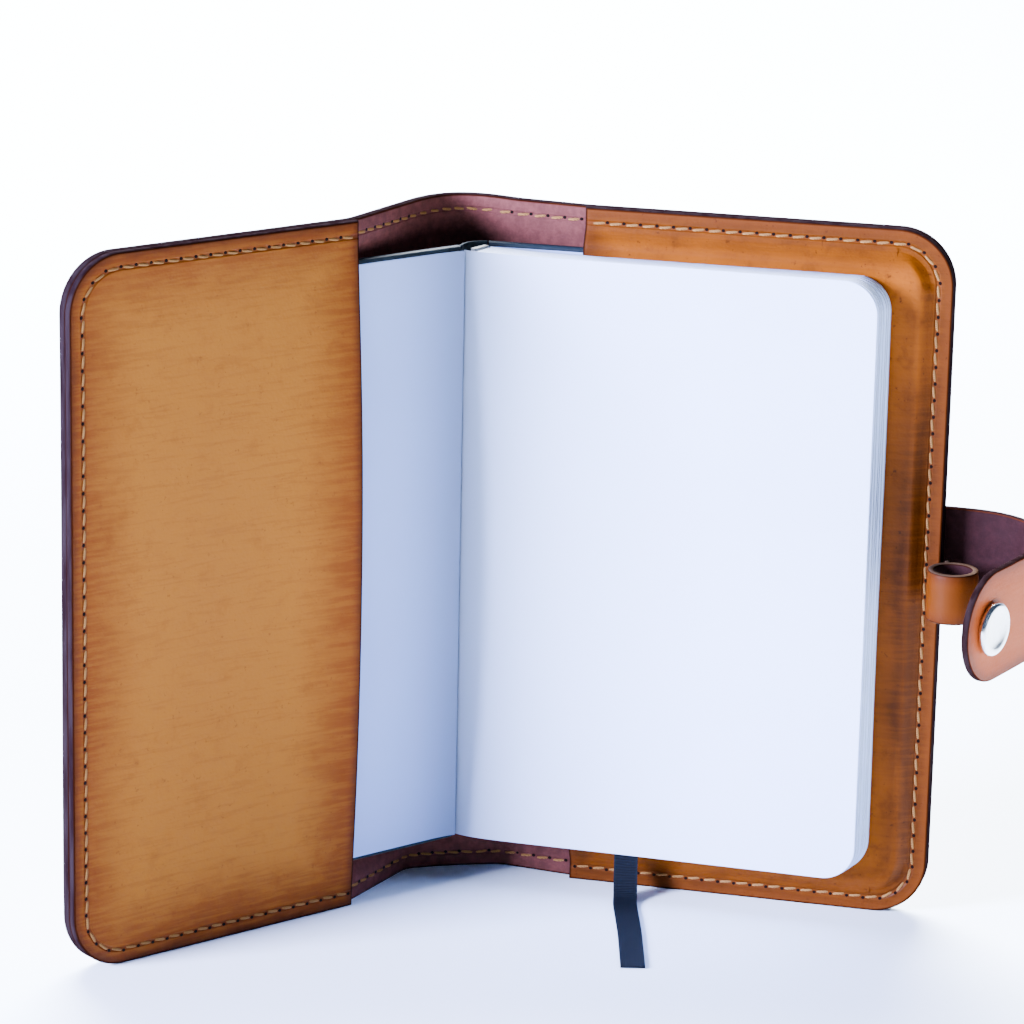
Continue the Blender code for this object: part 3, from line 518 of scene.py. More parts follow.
@dataclass(frozen=True)
class Leather:
    """Vegetable-tanned leather with a grain side, a burnished edge and a flesh side.

    Args:
        name: the material's name.
        light: colour of the middle of a panel, where it is rubbed.
        deep: colour of the tone that gathers towards the edges.
        shade: colour of the last few millimetres and of the seam's groove.
        edge: colour of the burnished edge.
        flesh: colour of the back of the leather.
        reach: how far from the edges the deeper tone reaches, in mm.
        pore: size of the grain's pebbles, in mm.
        roughness: roughness of the grain side.
        streaks: share of the fine fibres that run along the panel.
        painted_waist_shade: share of the deeper tone added over the middle of the height, a
            painted shade for the page block's shadow.
        blotch: share of the small darker patches.
    """

    name: str
    light: Color
    deep: Color
    shade: Color
    edge: Color
    flesh: Color
    reach: float = 16.0
    pore: float = 0.62
    roughness: float = 0.46
    streaks: float = 0.5
    painted_waist_shade: float = 0.0
    blotch: float = 0.25

    def material(self) -> bpy.types.Material:
        """Builds the finish; it reads the attributes inset, rim, side and seam, in mm."""
        n = Nodes(self.name)
        inset, rim = n.attribute("inset"), n.attribute("rim")
        side, seam = n.attribute("side"), n.attribute("seam")
        cloud = n.noise(34, 4, rough=0.6)
        mottle = n.noise(190, 5, rough=0.68)
        streak = n.noise(115, 4, stretch=(0.8, 0.8, 9.0), rough=0.62)
        edge_far = n.math("ADD", inset, n.math("MULTIPLY", cloud, -0.8 * self.reach))
        edge_far = n.math("ADD", edge_far, n.math("MULTIPLY", mottle, -0.2 * self.reach))
        away = n.span(edge_far, -0.5 * self.reach, 0.8 * self.reach)
        height = n.attribute("height")
        # Painted shade: the deeper tone is added over the middle of the height, for the shadow
        # the page block casts on the back cover.
        painted_waist_shade = n.math("MULTIPLY", n.span(height, 0.55, 0.9, 1.0, 0.0),
                       n.span(height, 0.06, 0.34, 0.15, 1.0))
        painted_waist_shade = n.math("MULTIPLY", painted_waist_shade, self.painted_waist_shade)
        away = n.math("SUBTRACT", away, painted_waist_shade, clamp=True)
        tone = n.mix(away, self.deep, self.light)
        fibres = n.math("MULTIPLY", n.span(streak, 0.42, 0.62), self.streaks)
        darker = tuple(0.72 * c for c in self.deep)
        tone = n.mix(fibres, tone, n.mix(0.55, tone, self.light))
        lines = n.math("MULTIPLY", n.span(streak, 0.50, 0.36), 0.8 * self.streaks)
        tone = n.mix(lines, tone, n.mix(0.5, tone, self.deep))
        patches = n.math("MULTIPLY", n.span(mottle, 0.5, 0.74), self.blotch)
        tone = n.mix(patches, tone, self.deep)
        margin = n.math("ADD", inset, n.math("MULTIPLY", mottle, 2.4))
        tone = n.mix(n.span(margin, 1.3, 4.4, 0.85, 0.0), tone, self.shade)
        pebble = n.cells(1000 / self.pore)
        fine = n.noise(1400, 3, rough=0.7)
        specks = n.span(n.noise(700, 3, rough=0.7), 0.62, 0.72)
        tone = n.mix(n.math("MULTIPLY", specks, 1.6 * self.blotch), tone, darker)
        groove = n.span(n.math("ABSOLUTE", seam), 0.25, 0.8, 1.0, 0.0)
        tone = n.mix(n.math("MULTIPLY", groove, 0.55), tone, self.shade)
        flesh = n.mix(n.span(n.noise(420, 5, rough=0.75), 0.35, 0.7), self.flesh,
                      tuple(1.5 * c for c in self.flesh))
        tone = n.mix(side, flesh, tone)
        edge = n.mix(n.span(n.noise(500, 3, stretch=(1, 1, 0.15)), 0.3, 0.7), self.edge,
                     tuple(1.4 * c + 0.004 for c in self.edge))
        turn = n.mix(n.span(rim, 0.55, 0.9), tuple(0.30 * c for c in self.shade), edge)
        tone = n.mix(n.span(rim, 0.12, 0.5), tone, turn)
        rough = n.math("ADD", n.math("MULTIPLY", mottle, 0.22), self.roughness - 0.1)
        rough = n.math("ADD", rough, n.span(side, 0.4, 0.6, 0.3, 0.0))
        rough = n.math("ADD", rough, n.span(rim, 0.1, 0.6, 0.0, 0.4), clamp=True)
        glint = n.span(rim, 0.1, 0.6, 0.06, 0.0)
        normal = n.bump(n.math("SUBTRACT", 1.0, groove), 0.35 * MM, 0.8)
        normal = n.bump(pebble, 0.09 * MM, 0.42, normal)
        normal = n.bump(fine, 0.05 * MM, 0.4, normal)
        normal = n.bump(streak, 0.25 * MM, 0.25, normal)
        return n.finish(Base_Color=tone, Roughness=rough, Normal=normal,
                        Specular_IOR_Level=glint)


@dataclass(frozen=True)
class BoardCloth:
    """Blue-black covering of the notebook's boards, with a fine leathery grain."""

    name: str = "board_covering"
    color: Color = (0.004, 0.009, 0.013)
    pale_patch_and_edge_highlight: Color = (0.016, 0.030, 0.040)

    def material(self) -> bpy.types.Material:
        """Builds the finish: lighter along its edges, a painted highlight, with a bumped grain.
        """
        n = Nodes(self.name)
        inset = n.attribute("inset")
        grain = n.cells(1500)
        # Random pale patches of the covering come from the same paler colour.
        tone = n.mix(n.span(n.noise(90, 4), 0.35, 0.75, 0.0, 0.35), self.color, self.pale_patch_and_edge_highlight)
        # Painted highlight: the last half millimetre of the outline is mixed halfway to the
        # paler colour, where light catches the board's edge.
        tone = n.mix(n.span(inset, 0.0, 0.5, 0.5, 0.0), tone, self.pale_patch_and_edge_highlight)
        normal = n.bump(grain, 0.08 * MM, 0.5)
        return n.finish(Base_Color=tone, Roughness=0.55, Normal=normal,
                        Specular_IOR_Level=0.15)


@dataclass(frozen=True)
class Paper:
    """Cool white paper.

    Args:
        name: the material's name.
        color: the sheet's colour.
        layered: whether its edges show the leaves that lie on each other.
    """

    name: str
    color: Color = (0.62, 0.72, 0.95)
    layered: bool = False

    def material(self) -> bpy.types.Material:
        """Builds the finish: faint fibres, painted shade towards the gutter, and lines of leaves
        along the edges.
        """
        n = Nodes(self.name)
        fibre = n.noise(700, 5, rough=0.7)
        cloud = n.noise(25, 3)
        darker = tuple(0.93 * c for c in self.color)
        tone = n.mix(n.span(cloud, 0.3, 0.7, 0.0, 0.6), self.color, darker)
        # Painted shade: the gutter value darkens the paper where the leaves bend into the spine.
        tone = n.mix(n.attribute("gutter"), tone, tuple(0.42 * c for c in self.color))
        normal = n.bump(fibre, 0.03 * MM, 0.25)
        if self.layered:
            depth, rim = n.attribute("depth"), n.attribute("rim")
            lines = n.noise(1.0, 2, stretch=(34, 34, 34),
                            source=self._line(n, depth))
            shade = tuple(0.58 * c for c in self.color)
            leaf = n.mix(n.span(lines, 0.35, 0.65), shade, self.color)
            tone = n.mix(rim, tone, leaf)
            normal = n.bump(n.math("MULTIPLY", lines, rim), 0.15 * MM, 0.6, normal)
        return n.finish(Base_Color=tone, Roughness=0.8, Normal=normal,
                        Specular_IOR_Level=0.15)

    @staticmethod
    def _line(n: Nodes, depth: object) -> object:
        """Returns a vector that only changes through the stack of leaves."""
        node = n.add("ShaderNodeCombineXYZ")
        n.feed(node.inputs[0], depth)
        return node.outputs[0]


@dataclass(frozen=True)
class Thread:
    """Waxed, twisted sewing thread."""

    name: str
    color: Color

    def material(self) -> bpy.types.Material:
        """Builds the finish: slanting plies across the thread."""
        n = Nodes(self.name)
        wave = n.add("ShaderNodeTexWave", wave_type="BANDS", bands_direction="DIAGONAL")
        n.feed(wave.inputs["Vector"], n.place)
        wave.inputs["Scale"].default_value = 1500.0
        dark = tuple(0.5 * c for c in self.color)
        tone = n.mix(n.span(wave.outputs["Fac"], 0.2, 0.8), dark, self.color)
        # Painted shade: the beads in the awl holes take a near-black colour, for the shade
        # inside the holes.
        tone = n.mix(n.attribute("hole"), tone, (0.004, 0.0012, 0.0006))
        normal = n.bump(wave.outputs["Fac"], 0.08 * MM, 0.6)
        return n.finish(Base_Color=tone, Roughness=0.8, Normal=normal,
                        Specular_IOR_Level=0.05)


@dataclass(frozen=True)
class Ribbon:
    """Fine ribbed dark ribbon; its ribs cross it, by its UV map."""

    name: str = "ribbon_satin"
    color: Color = (0.0022, 0.0030, 0.0050)

    def material(self) -> bpy.types.Material:
        """Builds the finish: ribs across and brighter selvedges."""
        n = Nodes(self.name)
        split = n.add("ShaderNodeSeparateXYZ")
        n.feed(split.inputs[0], n.add("ShaderNodeTexCoord").outputs["UV"])
        across, run = split.outputs[0], split.outputs[1]
        ribs = n.math("SINE", n.math("MULTIPLY", run, 2 * math.pi * 150))
        edge = n.span(n.math("ABSOLUTE", n.math("SUBTRACT", across, 0.5)), 0.40, 0.46)
        pale = tuple(2.2 * c for c in self.color)
        tone = n.mix(n.span(ribs, -1, 1, 0.0, 0.5), self.color, pale)
        tone = n.mix(edge, tone, pale)
        normal = n.bump(ribs, 0.06 * MM, 0.5)
        return n.finish(Base_Color=tone, Roughness=0.75, Normal=normal,
                        Specular_IOR_Level=0.06)


@dataclass(frozen=True)
class Metal:
    """Bright nickel with faint handling marks."""

    name: str
    color: Color = (0.78, 0.79, 0.80)

    def material(self) -> bpy.types.Material:
        """Builds the finish: fine scratches in the roughness and the bump."""
        n = Nodes(self.name)
        marks = n.noise(900, 4, stretch=(1, 1, 0.2), rough=0.7)
        rough = n.span(marks, 0.3, 0.8, 0.14, 0.34)
        normal = n.bump(marks, 0.01 * MM, 0.2)
        return n.finish(Base_Color=self.color, Metallic=1.0, Roughness=rough, Normal=normal)


@dataclass(frozen=True)
class Finishes:
    """Every material of the object, made once."""

    tan: bpy.types.Material
    amber: bpy.types.Material
    strap: bpy.types.Material
    loop: bpy.types.Material
    boards: bpy.types.Material
    page: bpy.types.Material
    endpaper: bpy.types.Material
    leaves: bpy.types.Material
    thread: bpy.types.Material
    ribbon: bpy.types.Material
    metal: bpy.types.Material
    band: bpy.types.Material

    @classmethod
    def make(cls) -> Finishes:
        """Builds the materials."""
        edge = (0.0060, 0.0026, 0.0034)
        flesh = (0.075, 0.022, 0.018)
        strap_flesh = (0.014, 0.0034, 0.0036)
        return cls(
            tan=Leather("cover_tan", (0.28, 0.092, 0.008), (0.135, 0.028, 0.0012),
                        (0.055, 0.010, 0.001), edge, flesh).material(),
            # The amber leather gets painted shade over the middle of its height, for the page
            # block's shadow.
            amber=Leather("cover_amber", (0.25, 0.058, 0.001), (0.056, 0.0125, 0.0004),
                          (0.09, 0.020, 0.002), edge, flesh, reach=12.0, streaks=0.2,
                          painted_waist_shade=0.55, blotch=0.5).material(),
            strap=Leather("strap_tan", (0.38, 0.072, 0.011), (0.28, 0.048, 0.007),
                          (0.14, 0.030, 0.010), (0.008, 0.003, 0.003), strap_flesh, reach=6.0,
                          streaks=0.2).material(),
            # Painted shade: the pen loop is the amber leather darkened about threefold, for the
            # shade of the block and strap that it sits in.
            loop=Leather("loop_amber", (0.078, 0.0165, 0.0002), (0.085, 0.017, 0.0005),
                         (0.05, 0.010, 0.001), (0.05, 0.028, 0.016), strap_flesh, reach=4.0,
                         streaks=0.1).material(),
            boards=BoardCloth().material(),
            page=Paper("page_paper").material(),
            # Painted shade: the endpaper is the page paper darkened, for the shade on the front
            # endpaper, which faces away from the light.
            endpaper=Paper("endpaper", (0.37, 0.47, 0.74)).material(),
            leaves=Paper("leaf_stack", layered=True).material(),
            thread=Thread("tan_thread", (0.27, 0.125, 0.038)).material(),
            ribbon=Ribbon().material(),
            metal=Metal("snap_nickel").material(),
            band=Thread("headband_cord", (0.55, 0.55, 0.52)).material())


def paint(item: bpy.types.Object, material: bpy.types.Material) -> None:
    """Makes a material the only one of a piece, and reports the piece."""
    item.data.materials.clear()
    item.data.materials.append(material)
    LOG.info("%s: %s", item.name, material.name)


def dress(item: bpy.types.Object, material: bpy.types.Material) -> None:
    """Paints a new piece."""
    paint(item, material)


# ---- Camera, light and floor --------------------------------------------------------
@dataclass
class Studio:
    """A pale sweep, soft light and the camera.

    Args:
        layout: gives the plan middle of the spine, which the camera is placed from.
        lens: focal length, in mm.
        heading: the camera's turn right of +Y.
        tilt: its tilt down.
        roll: its turn about its own axis.
        offset: its place from the spine's plan middle.
    """

    layout: Layout
    lens: float = 148.0
    heading: float = math.radians(11.8)
    tilt: float = math.radians(15.148)
    roll: float = math.radians(-1.1796)
    offset: tuple[float, float, float] = (-0.1886, -0.9666, 0.35767)

    def camera(self) -> None:
        """Aims the camera: a heading right of +Y, a tilt down and a small roll."""
        data = bpy.data.cameras.new("camera")
        data.lens = self.lens
        data.sensor_width = 36.0
        ahead = np.array([math.sin(self.heading) * math.cos(self.tilt),
                          math.cos(self.heading) * math.cos(self.tilt), -math.sin(self.tilt)])
        right = unit(np.cross(ahead, (0, 0, 1)))
        down = np.cross(ahead, right)
        turned = math.cos(self.roll) * right + math.sin(self.roll) * down
        below = -math.sin(self.roll) * right + math.cos(self.roll) * down
        axes = Matrix(np.column_stack([turned, -below, -ahead]).tolist()).to_4x4()
        place = np.array(self.offset) + np.append(self.layout.middle, 0.0)
        item = bpy.data.objects.new("camera", data)
        item.matrix_world = Matrix.Translation(place.tolist()) @ axes
        bpy.context.scene.collection.objects.link(item)
        bpy.context.scene.camera = item

    def light(self, name: str, place: tuple, aim: tuple, size: float, power: float,
              color: Color = (1, 1, 1)) -> None:
        """Adds a square area light that points at a place."""
        data = bpy.data.lights.new(name, "AREA")
        data.shape = "RECTANGLE"
        data.size, data.size_y = size, size
        data.energy = power
        data.color = color
        item = bpy.data.objects.new(name, data)
        item.location = place
        item.rotation_euler = (Vector(aim) - Vector(place)).to_track_quat("-Z", "Y").to_euler()
        bpy.context.scene.collection.objects.link(item)

    def sweep(self) -> None:
        """Makes the floor: flat, with a wide curve up to the backdrop."""
        curve, radius, half_width = 0.9, 0.8, 3.0
        run = ([(-2.5, 0.0), (-1.0, 0.0), (curve, 0.0)]
               + [(curve + radius * math.sin(t), radius - radius * math.cos(t))
                  for t in np.linspace(0.05, math.pi / 2, 14)] + [(curve + radius, 3.2)])
        points = np.array([[(x, y, z) for y, z in run] for x in (-half_width, half_width)])
        rows = len(run)
        faces = [(i + rows, i + rows + 1, i + 1, i) for i in range(rows - 1)]
        floor = link("studio_floor", points, faces)
        n = Nodes("studio_paper")
        floor.data.materials.append(n.finish(Base_Color=(0.88, 0.94, 0.98), Roughness=0.9))

    def build(self) -> None:
        """Sets the scene around the object."""
        self.camera()
        self.sweep()
        world = bpy.data.worlds.new("studio_world")
        bpy.context.scene.world = world
        world.use_nodes = True
        background = world.node_tree.nodes["Background"]
        background.inputs["Color"].default_value = (0.46, 0.72, 1.2, 1.0)
        background.inputs["Strength"].default_value = 0.12
        self.light("window", (-0.97, -0.30, 0.36), (0.02, 0, 0.08), 0.34, 104.0,
                   (0.76, 0.86, 1.45))
        self.light("fill", (0.7, -1.3, 0.8), (-0.03, 0, 0.08), 1.0, 1.0, (0.75, 0.92, 1.3))
        self.light("back", (0.1, 1.15, 1.15), (0.0, 0.15, 0.0), 1.2, 340.0,
                   (0.92, 0.97, 1.08))


# ---- Leather cover ------------------------------------------------------------------
@dataclass
class Cover:
    """The hide, its two pocket flaps and the stitching.

    Args:
        layout: the cover's plan.
        finishes: the materials.
        joint_station: where the spine's two visual pieces meet, right of the crown.
        thread_radius: the sewing thread's radius.
    """

    layout: Layout
    finishes: Finishes
    joint_station: float = 6.0 * MM
    thread_radius: float = 0.29 * MM

    def leather_values(self, grid: Grid) -> dict:
        """Returns the attributes that a leather finish reads, for both faces."""
        inset = grid.inset / MM
        rim = np.clip(1 - inset / 0.8, 0, 1)
        ones = np.ones(inset.shape)
        return {"inset": inset, "rim": rim, "seam": inset - SEAM_INSET / MM,
                "side": (ones, 0 * ones), "height": grid.up / COVER_HEIGHT}

    def hide_piece(self, name: str, grid: Grid, station: Array) -> bpy.types.Object:
        """Makes a stretch of the hide from stations and heights."""
        half = rounded_half(grid.inset, HIDE)
        grain = self.layout.hide(station, grid.up, half)
        flesh = self.layout.hide(station, grid.up, -half)
        return sheet(name, grain, flesh, self.leather_values(grid))

    def panel(self, side: CoverSide, name: str, body: str, gusset_body: str,
              material: bpy.types.Material, node: str) -> None:
        """Makes one half of the hide, from the middle of its gusset to the fore edge."""
        grid = plate_grid(-side.gusset / 2, side.panel, COVER_HEIGHT, CORNER, 76, 56)
        station = side.sign * (self.layout.arch + side.gusset + grid.along)
        item = self.hide_piece(name, grid, station)
        dress(item, material)
        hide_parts(node)
        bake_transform(item)

    def spine(self) -> None:
        """Makes the spine with half of each gusset: two pieces that meet by the crown."""
        both = ((self.layout.left, "hide_spine", "left_gusset_body",
                 ("spine_panel", "left_gusset")),
                (self.layout.right, "hide_spine_right", "right_gusset_body",
                 ("right_gusset",)))
        for side, name, body, nodes in both:
            far = side.sign * (self.layout.arch + side.gusset / 2)
            low, high = sorted((far, self.joint_station))
            grid = plate_grid(low, high, COVER_HEIGHT, CORNER, 90, 56, far_rim=False)
            item = self.hide_piece(name, grid, grid.along)
            dress(item, self.finishes.tan)
            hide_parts(*nodes)
            start, end = side.fold_span()
            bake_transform(item)

    def flap(self, side: CoverSide, name: str, body: str, material: bpy.types.Material,
             node: str) -> None:
        """Makes a pocket flap; its free edge stands off the board at mid height."""
        grid = plate_grid(0.0, side.panel, COVER_HEIGHT, CORNER, 70, 56, near_rim=True)
        half = rounded_half(grid.inset, FLAP)
        middle = side.flap_middle(grid.along, grid.up)
        depth = 1.1 * MM if side.sign < 0 else 0.3 * MM
        bow = depth * np.maximum(np.sin(math.pi * grid.up / COVER_HEIGHT), 0) ** 0.6
        near = np.clip(1 - grid.along / (0.6 * side.panel), 0, 1)
        along = grid.along + bow * near
        front = side.place(along, middle + half, grid.up)
        back = side.place(along, middle - half, grid.up)
        values = self.leather_values(grid)
        outline = np.minimum(grid.up, COVER_HEIGHT - grid.up)
        values["seam"] = np.where(grid.along < 6 * MM, outline,
                                  grid.inset) / MM - SEAM_INSET / MM
        item = sheet(name, front, back, values)
        dress(item, material)
        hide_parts(node)
        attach(item, body)

    # -- stitching --
    def seam_line(self, start: float, end: float) -> tuple[Array, Array]:
        """Returns dense (along, up) points of a seam round three sides of a panel."""
        turn = CORNER - SEAM_INSET
        top = COVER_HEIGHT - SEAM_INSET
        angle = np.linspace(math.pi / 2, 0, 40)
        a = np.concatenate([np.linspace(start, end - CORNER, 200),
                            end - CORNER + turn * np.cos(angle)])
        z = np.concatenate([np.full(200, top),
                            COVER_HEIGHT - CORNER + turn * np.sin(angle)])
        a = np.concatenate([a, np.full(200, end - SEAM_INSET), a[::-1]])
        z = np.concatenate([z, np.linspace(COVER_HEIGHT - CORNER, CORNER, 200),
                            COVER_HEIGHT - z[::-1]])
        return a, z

    @staticmethod
    def spaced(a: Array, z: Array, step: float) -> tuple[Array, ...]:
        """Finds the stitches' middles and directions, one pitch apart on a dense line.

        Args:
            a: along positions of the dense line.
            z: heights of the dense line.
            step: half the distance that a direction is measured over.

        Returns:
            The middles' along positions and heights, and the unit directions' two parts.
        """
        run = np.concatenate([[0], np.cumsum(np.hypot(np.diff(a), np.diff(z)))])
        count = max(int(round(run[-1] / STITCH_PITCH)), 1)
        middle = (np.arange(count) + 0.5) * run[-1] / count
        ahead = [np.interp(middle + step, run, v) - np.interp(middle - step, run, v)
                 for v in (a, z)]
        length = np.hypot(*ahead)
        return (np.interp(middle, run, a), np.interp(middle, run, z),
                ahead[0] / length, ahead[1] / length)

    def stitches(self, name: str, place: Callable[..., Array], a: Array,
                 z: Array) -> bpy.types.Object:
        """Makes a row of stitches: each is a short tube that dips into its holes.

        The radius along a stitch is r sqrt(1 - 0.97 x^6) and its middle line rises by
        (1 - x^2), for x from -1 to 1.

        Args:
            name: the piece's name.
            place: gives surface points for (along, up) and a depth.
            a: along positions of the dense line.
            z: heights of the dense line.

        Returns:
            The row as one object.
        """
        step = 0.05 * MM
        sa, sz, ta, tz = self.spaced(a, z, step)
        centre = place(sa, sz)
        e1 = place(sa + ta * step, sz + tz * step) - place(sa - ta * step, sz - tz * step)
        e1 /= np.linalg.norm(e1, axis=-1, keepdims=True)
        e2 = place(sa - tz * step, sz + ta * step) - place(sa + tz * step, sz - ta * step)
        e2 /= np.linalg.norm(e2, axis=-1, keepdims=True)
        e3 = np.cross(e1, e2)
        e3 *= np.sign(np.einsum("ij,ij->i", e3, centre - place(sa, sz, -1.0)))[:, None]
        slant = math.radians(7)
        cos, sin = math.cos(slant), math.sin(slant)
        e1, e2 = e1 * cos + e2 * sin, e2 * cos - e1 * sin
        x = np.array([-1.0, -0.93, -0.75, -0.4, 0.0, 0.4, 0.75, 0.93, 1.0])
        size = self.thread_radius * np.sqrt(np.maximum(1 - 0.97 * x ** 6, 0.01))
        rise = 0.34 * MM * (1 - x ** 2) - 0.28 * MM
        turn = np.linspace(0, 2 * math.pi, 8, endpoint=False)
        local = np.stack([np.broadcast_to((x * 0.43 * STITCH_PITCH)[:, None], (9, 8)),
                          np.outer(size, np.cos(turn)) * 1.15,
                          np.outer(size, np.sin(turn)) * 0.8 + rise[:, None]], axis=-1)
        axes = np.stack([e1, e2, e3], axis=1)
        points = centre[:, None, None, :] + np.einsum("uvk,nkj->nuvj", local, axes)
        index = np.arange(72).reshape(9, 8)
        around = np.roll(index, -1, axis=1)
        quads = np.stack([index[:-1], around[:-1], around[1:], index[1:]], -1).reshape(-1, 4)
        caps = [index[0, ::-1], index[-1]]
        faces: list = []
        flip = np.linalg.det(axes) < 0
        for i in range(len(sa)):
            own = quads + 72 * i
            ends = [cap + 72 * i for cap in caps]
            if flip[i]:
                own, ends = own[:, ::-1], [cap[::-1] for cap in ends]
            faces += own[:, ::-1].tolist() + [cap[::-1].tolist() for cap in ends]
        # The beads are painted shade for the awl holes.
        beads, lids = self.holes(centre, e1, e2, e3, points.size // 3)
        marks = np.concatenate([np.zeros(points.size // 3), np.ones(len(beads))])
        return link(name, np.concatenate([points.reshape(-1, 3), beads]), faces + lids,
                    {"hole": marks}, angle=70)

    @staticmethod
    def holes(centre: Array, e1: Array, e2: Array, e3: Array,
              first: int) -> tuple[Array, list]:
        """Returns flat dark beads in the awl holes between the stitches: painted shade for the
        inside of the holes.

        Args:
            centre: the stitches' middles.
            e1: unit vectors along the stitches.
            e2: unit vectors across them.
            e3: unit vectors out of the leather.
            first: index of the first bead's first vertex.

        Returns:
            The beads' points and their faces.
        """
        turn = np.linspace(0, 2 * math.pi, 8, endpoint=False)
        ring = np.stack([0.46 * MM * np.cos(turn), 0.40 * MM * np.sin(turn),
                         np.full(8, 0.02 * MM)], axis=-1)
        local = np.concatenate([ring, [[0, 0, 0.07 * MM], [0, 0, -0.10 * MM]]])
        local = local + np.array([STITCH_PITCH / 2, 0, 0])
        axes = np.stack([e1, e2, e3], axis=1)
        points = centre[:, None, :] + np.einsum("vk,nkj->nvj", local, axes)
        flip = np.linalg.det(axes) < 0
        faces = []
        for i in range(len(centre)):
            base = first + 10 * i
            for k in range(8):
                a, b = base + k, base + (k + 1) % 8
                up, down = (a, b, base + 8), (b, a, base + 9)
                faces += [up[::-1], down[::-1]] if flip[i] else [up, down]
        return points.reshape(-1, 3), faces

    def sew(self) -> None:
        """Sews the seams on both faces of the cover."""
        lay = self.layout

        def on_hide(sign: float, base: float, face: Face) -> Callable:
            """Gives points on a face of the hide from a base station."""
            def place(a: Array, z: Array, depth: float = 0.0) -> Array:
                lift = np.full(np.shape(a), face.value * (HIDE / 2 + depth * 0.1 * MM))
                return lay.hide(sign * (base + a), np.asarray(z), lift)
            return place

        def on_flap(side: CoverSide) -> Callable:
            """Gives points on the inner face of a flap."""
            def place(a: Array, z: Array, depth: float = 0.0) -> Array:
                lift = FLAP / 2 + depth * 0.1 * MM
                return side.place(a, side.flap_middle(a, z) + lift, z)
            return place

        for side, key, body, node in ((lay.left, "left", "left_cover", "left_seam_thread"),
                                      (lay.right, "right", "right_cover",
                                       "right_seam_thread")):
            base = lay.arch + side.gusset
            a, z = self.seam_line(1.5 * MM, side.panel)
            inner = self.stitches(f"{key}_stitches_inner", on_flap(side), a, z)
            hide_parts(node)
            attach(inner, body)
            dress(inner, self.finishes.thread)
            a, z = self.seam_line(-side.gusset / 2, side.panel)
            outer = self.stitches(f"{key}_stitches_outer",
                                  on_hide(side.sign, base, Face.GRAIN), a, z)
            start, end = side.flex_span()
            dress(outer, self.finishes.thread)
            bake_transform(outer)
            for face in Face:
                rows = {"upper": COVER_HEIGHT - SEAM_INSET, "lower": SEAM_INSET}
                for row, height in rows.items():
                    far = lay.arch + (side.gusset / 2 if face is Face.GRAIN
                                      else side.gusset - 1 * MM)
                    near = -self.joint_station if side.sign < 0 else self.joint_station
                    a = np.linspace(near, far, 200)
                    part = self.stitches(f"{key}_spine_{row}_{face.name.lower()}",
                                         on_hide(side.sign, 0.0, face), a,
                                         np.full(200, height))
                    dress(part, self.finishes.thread)
                    start, end = side.fold_span()
                    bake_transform(part)

    def build(self) -> None:
        """Makes the cover."""
        lay, fin = self.layout, self.finishes
        self.panel(lay.left, "hide_left", "left_cover", "left_gusset_body", fin.tan,
                   "left_cover_panel")
        self.panel(lay.right, "hide_right", "right_cover", "right_gusset_body", fin.amber,
                   "right_cover_panel")
        self.spine()
        self.flap(lay.left, "left_flap", "left_cover", fin.tan, "left_pocket")
        self.flap(lay.right, "right_flap", "right_cover", fin.amber, "right_pocket")
        self.sew()


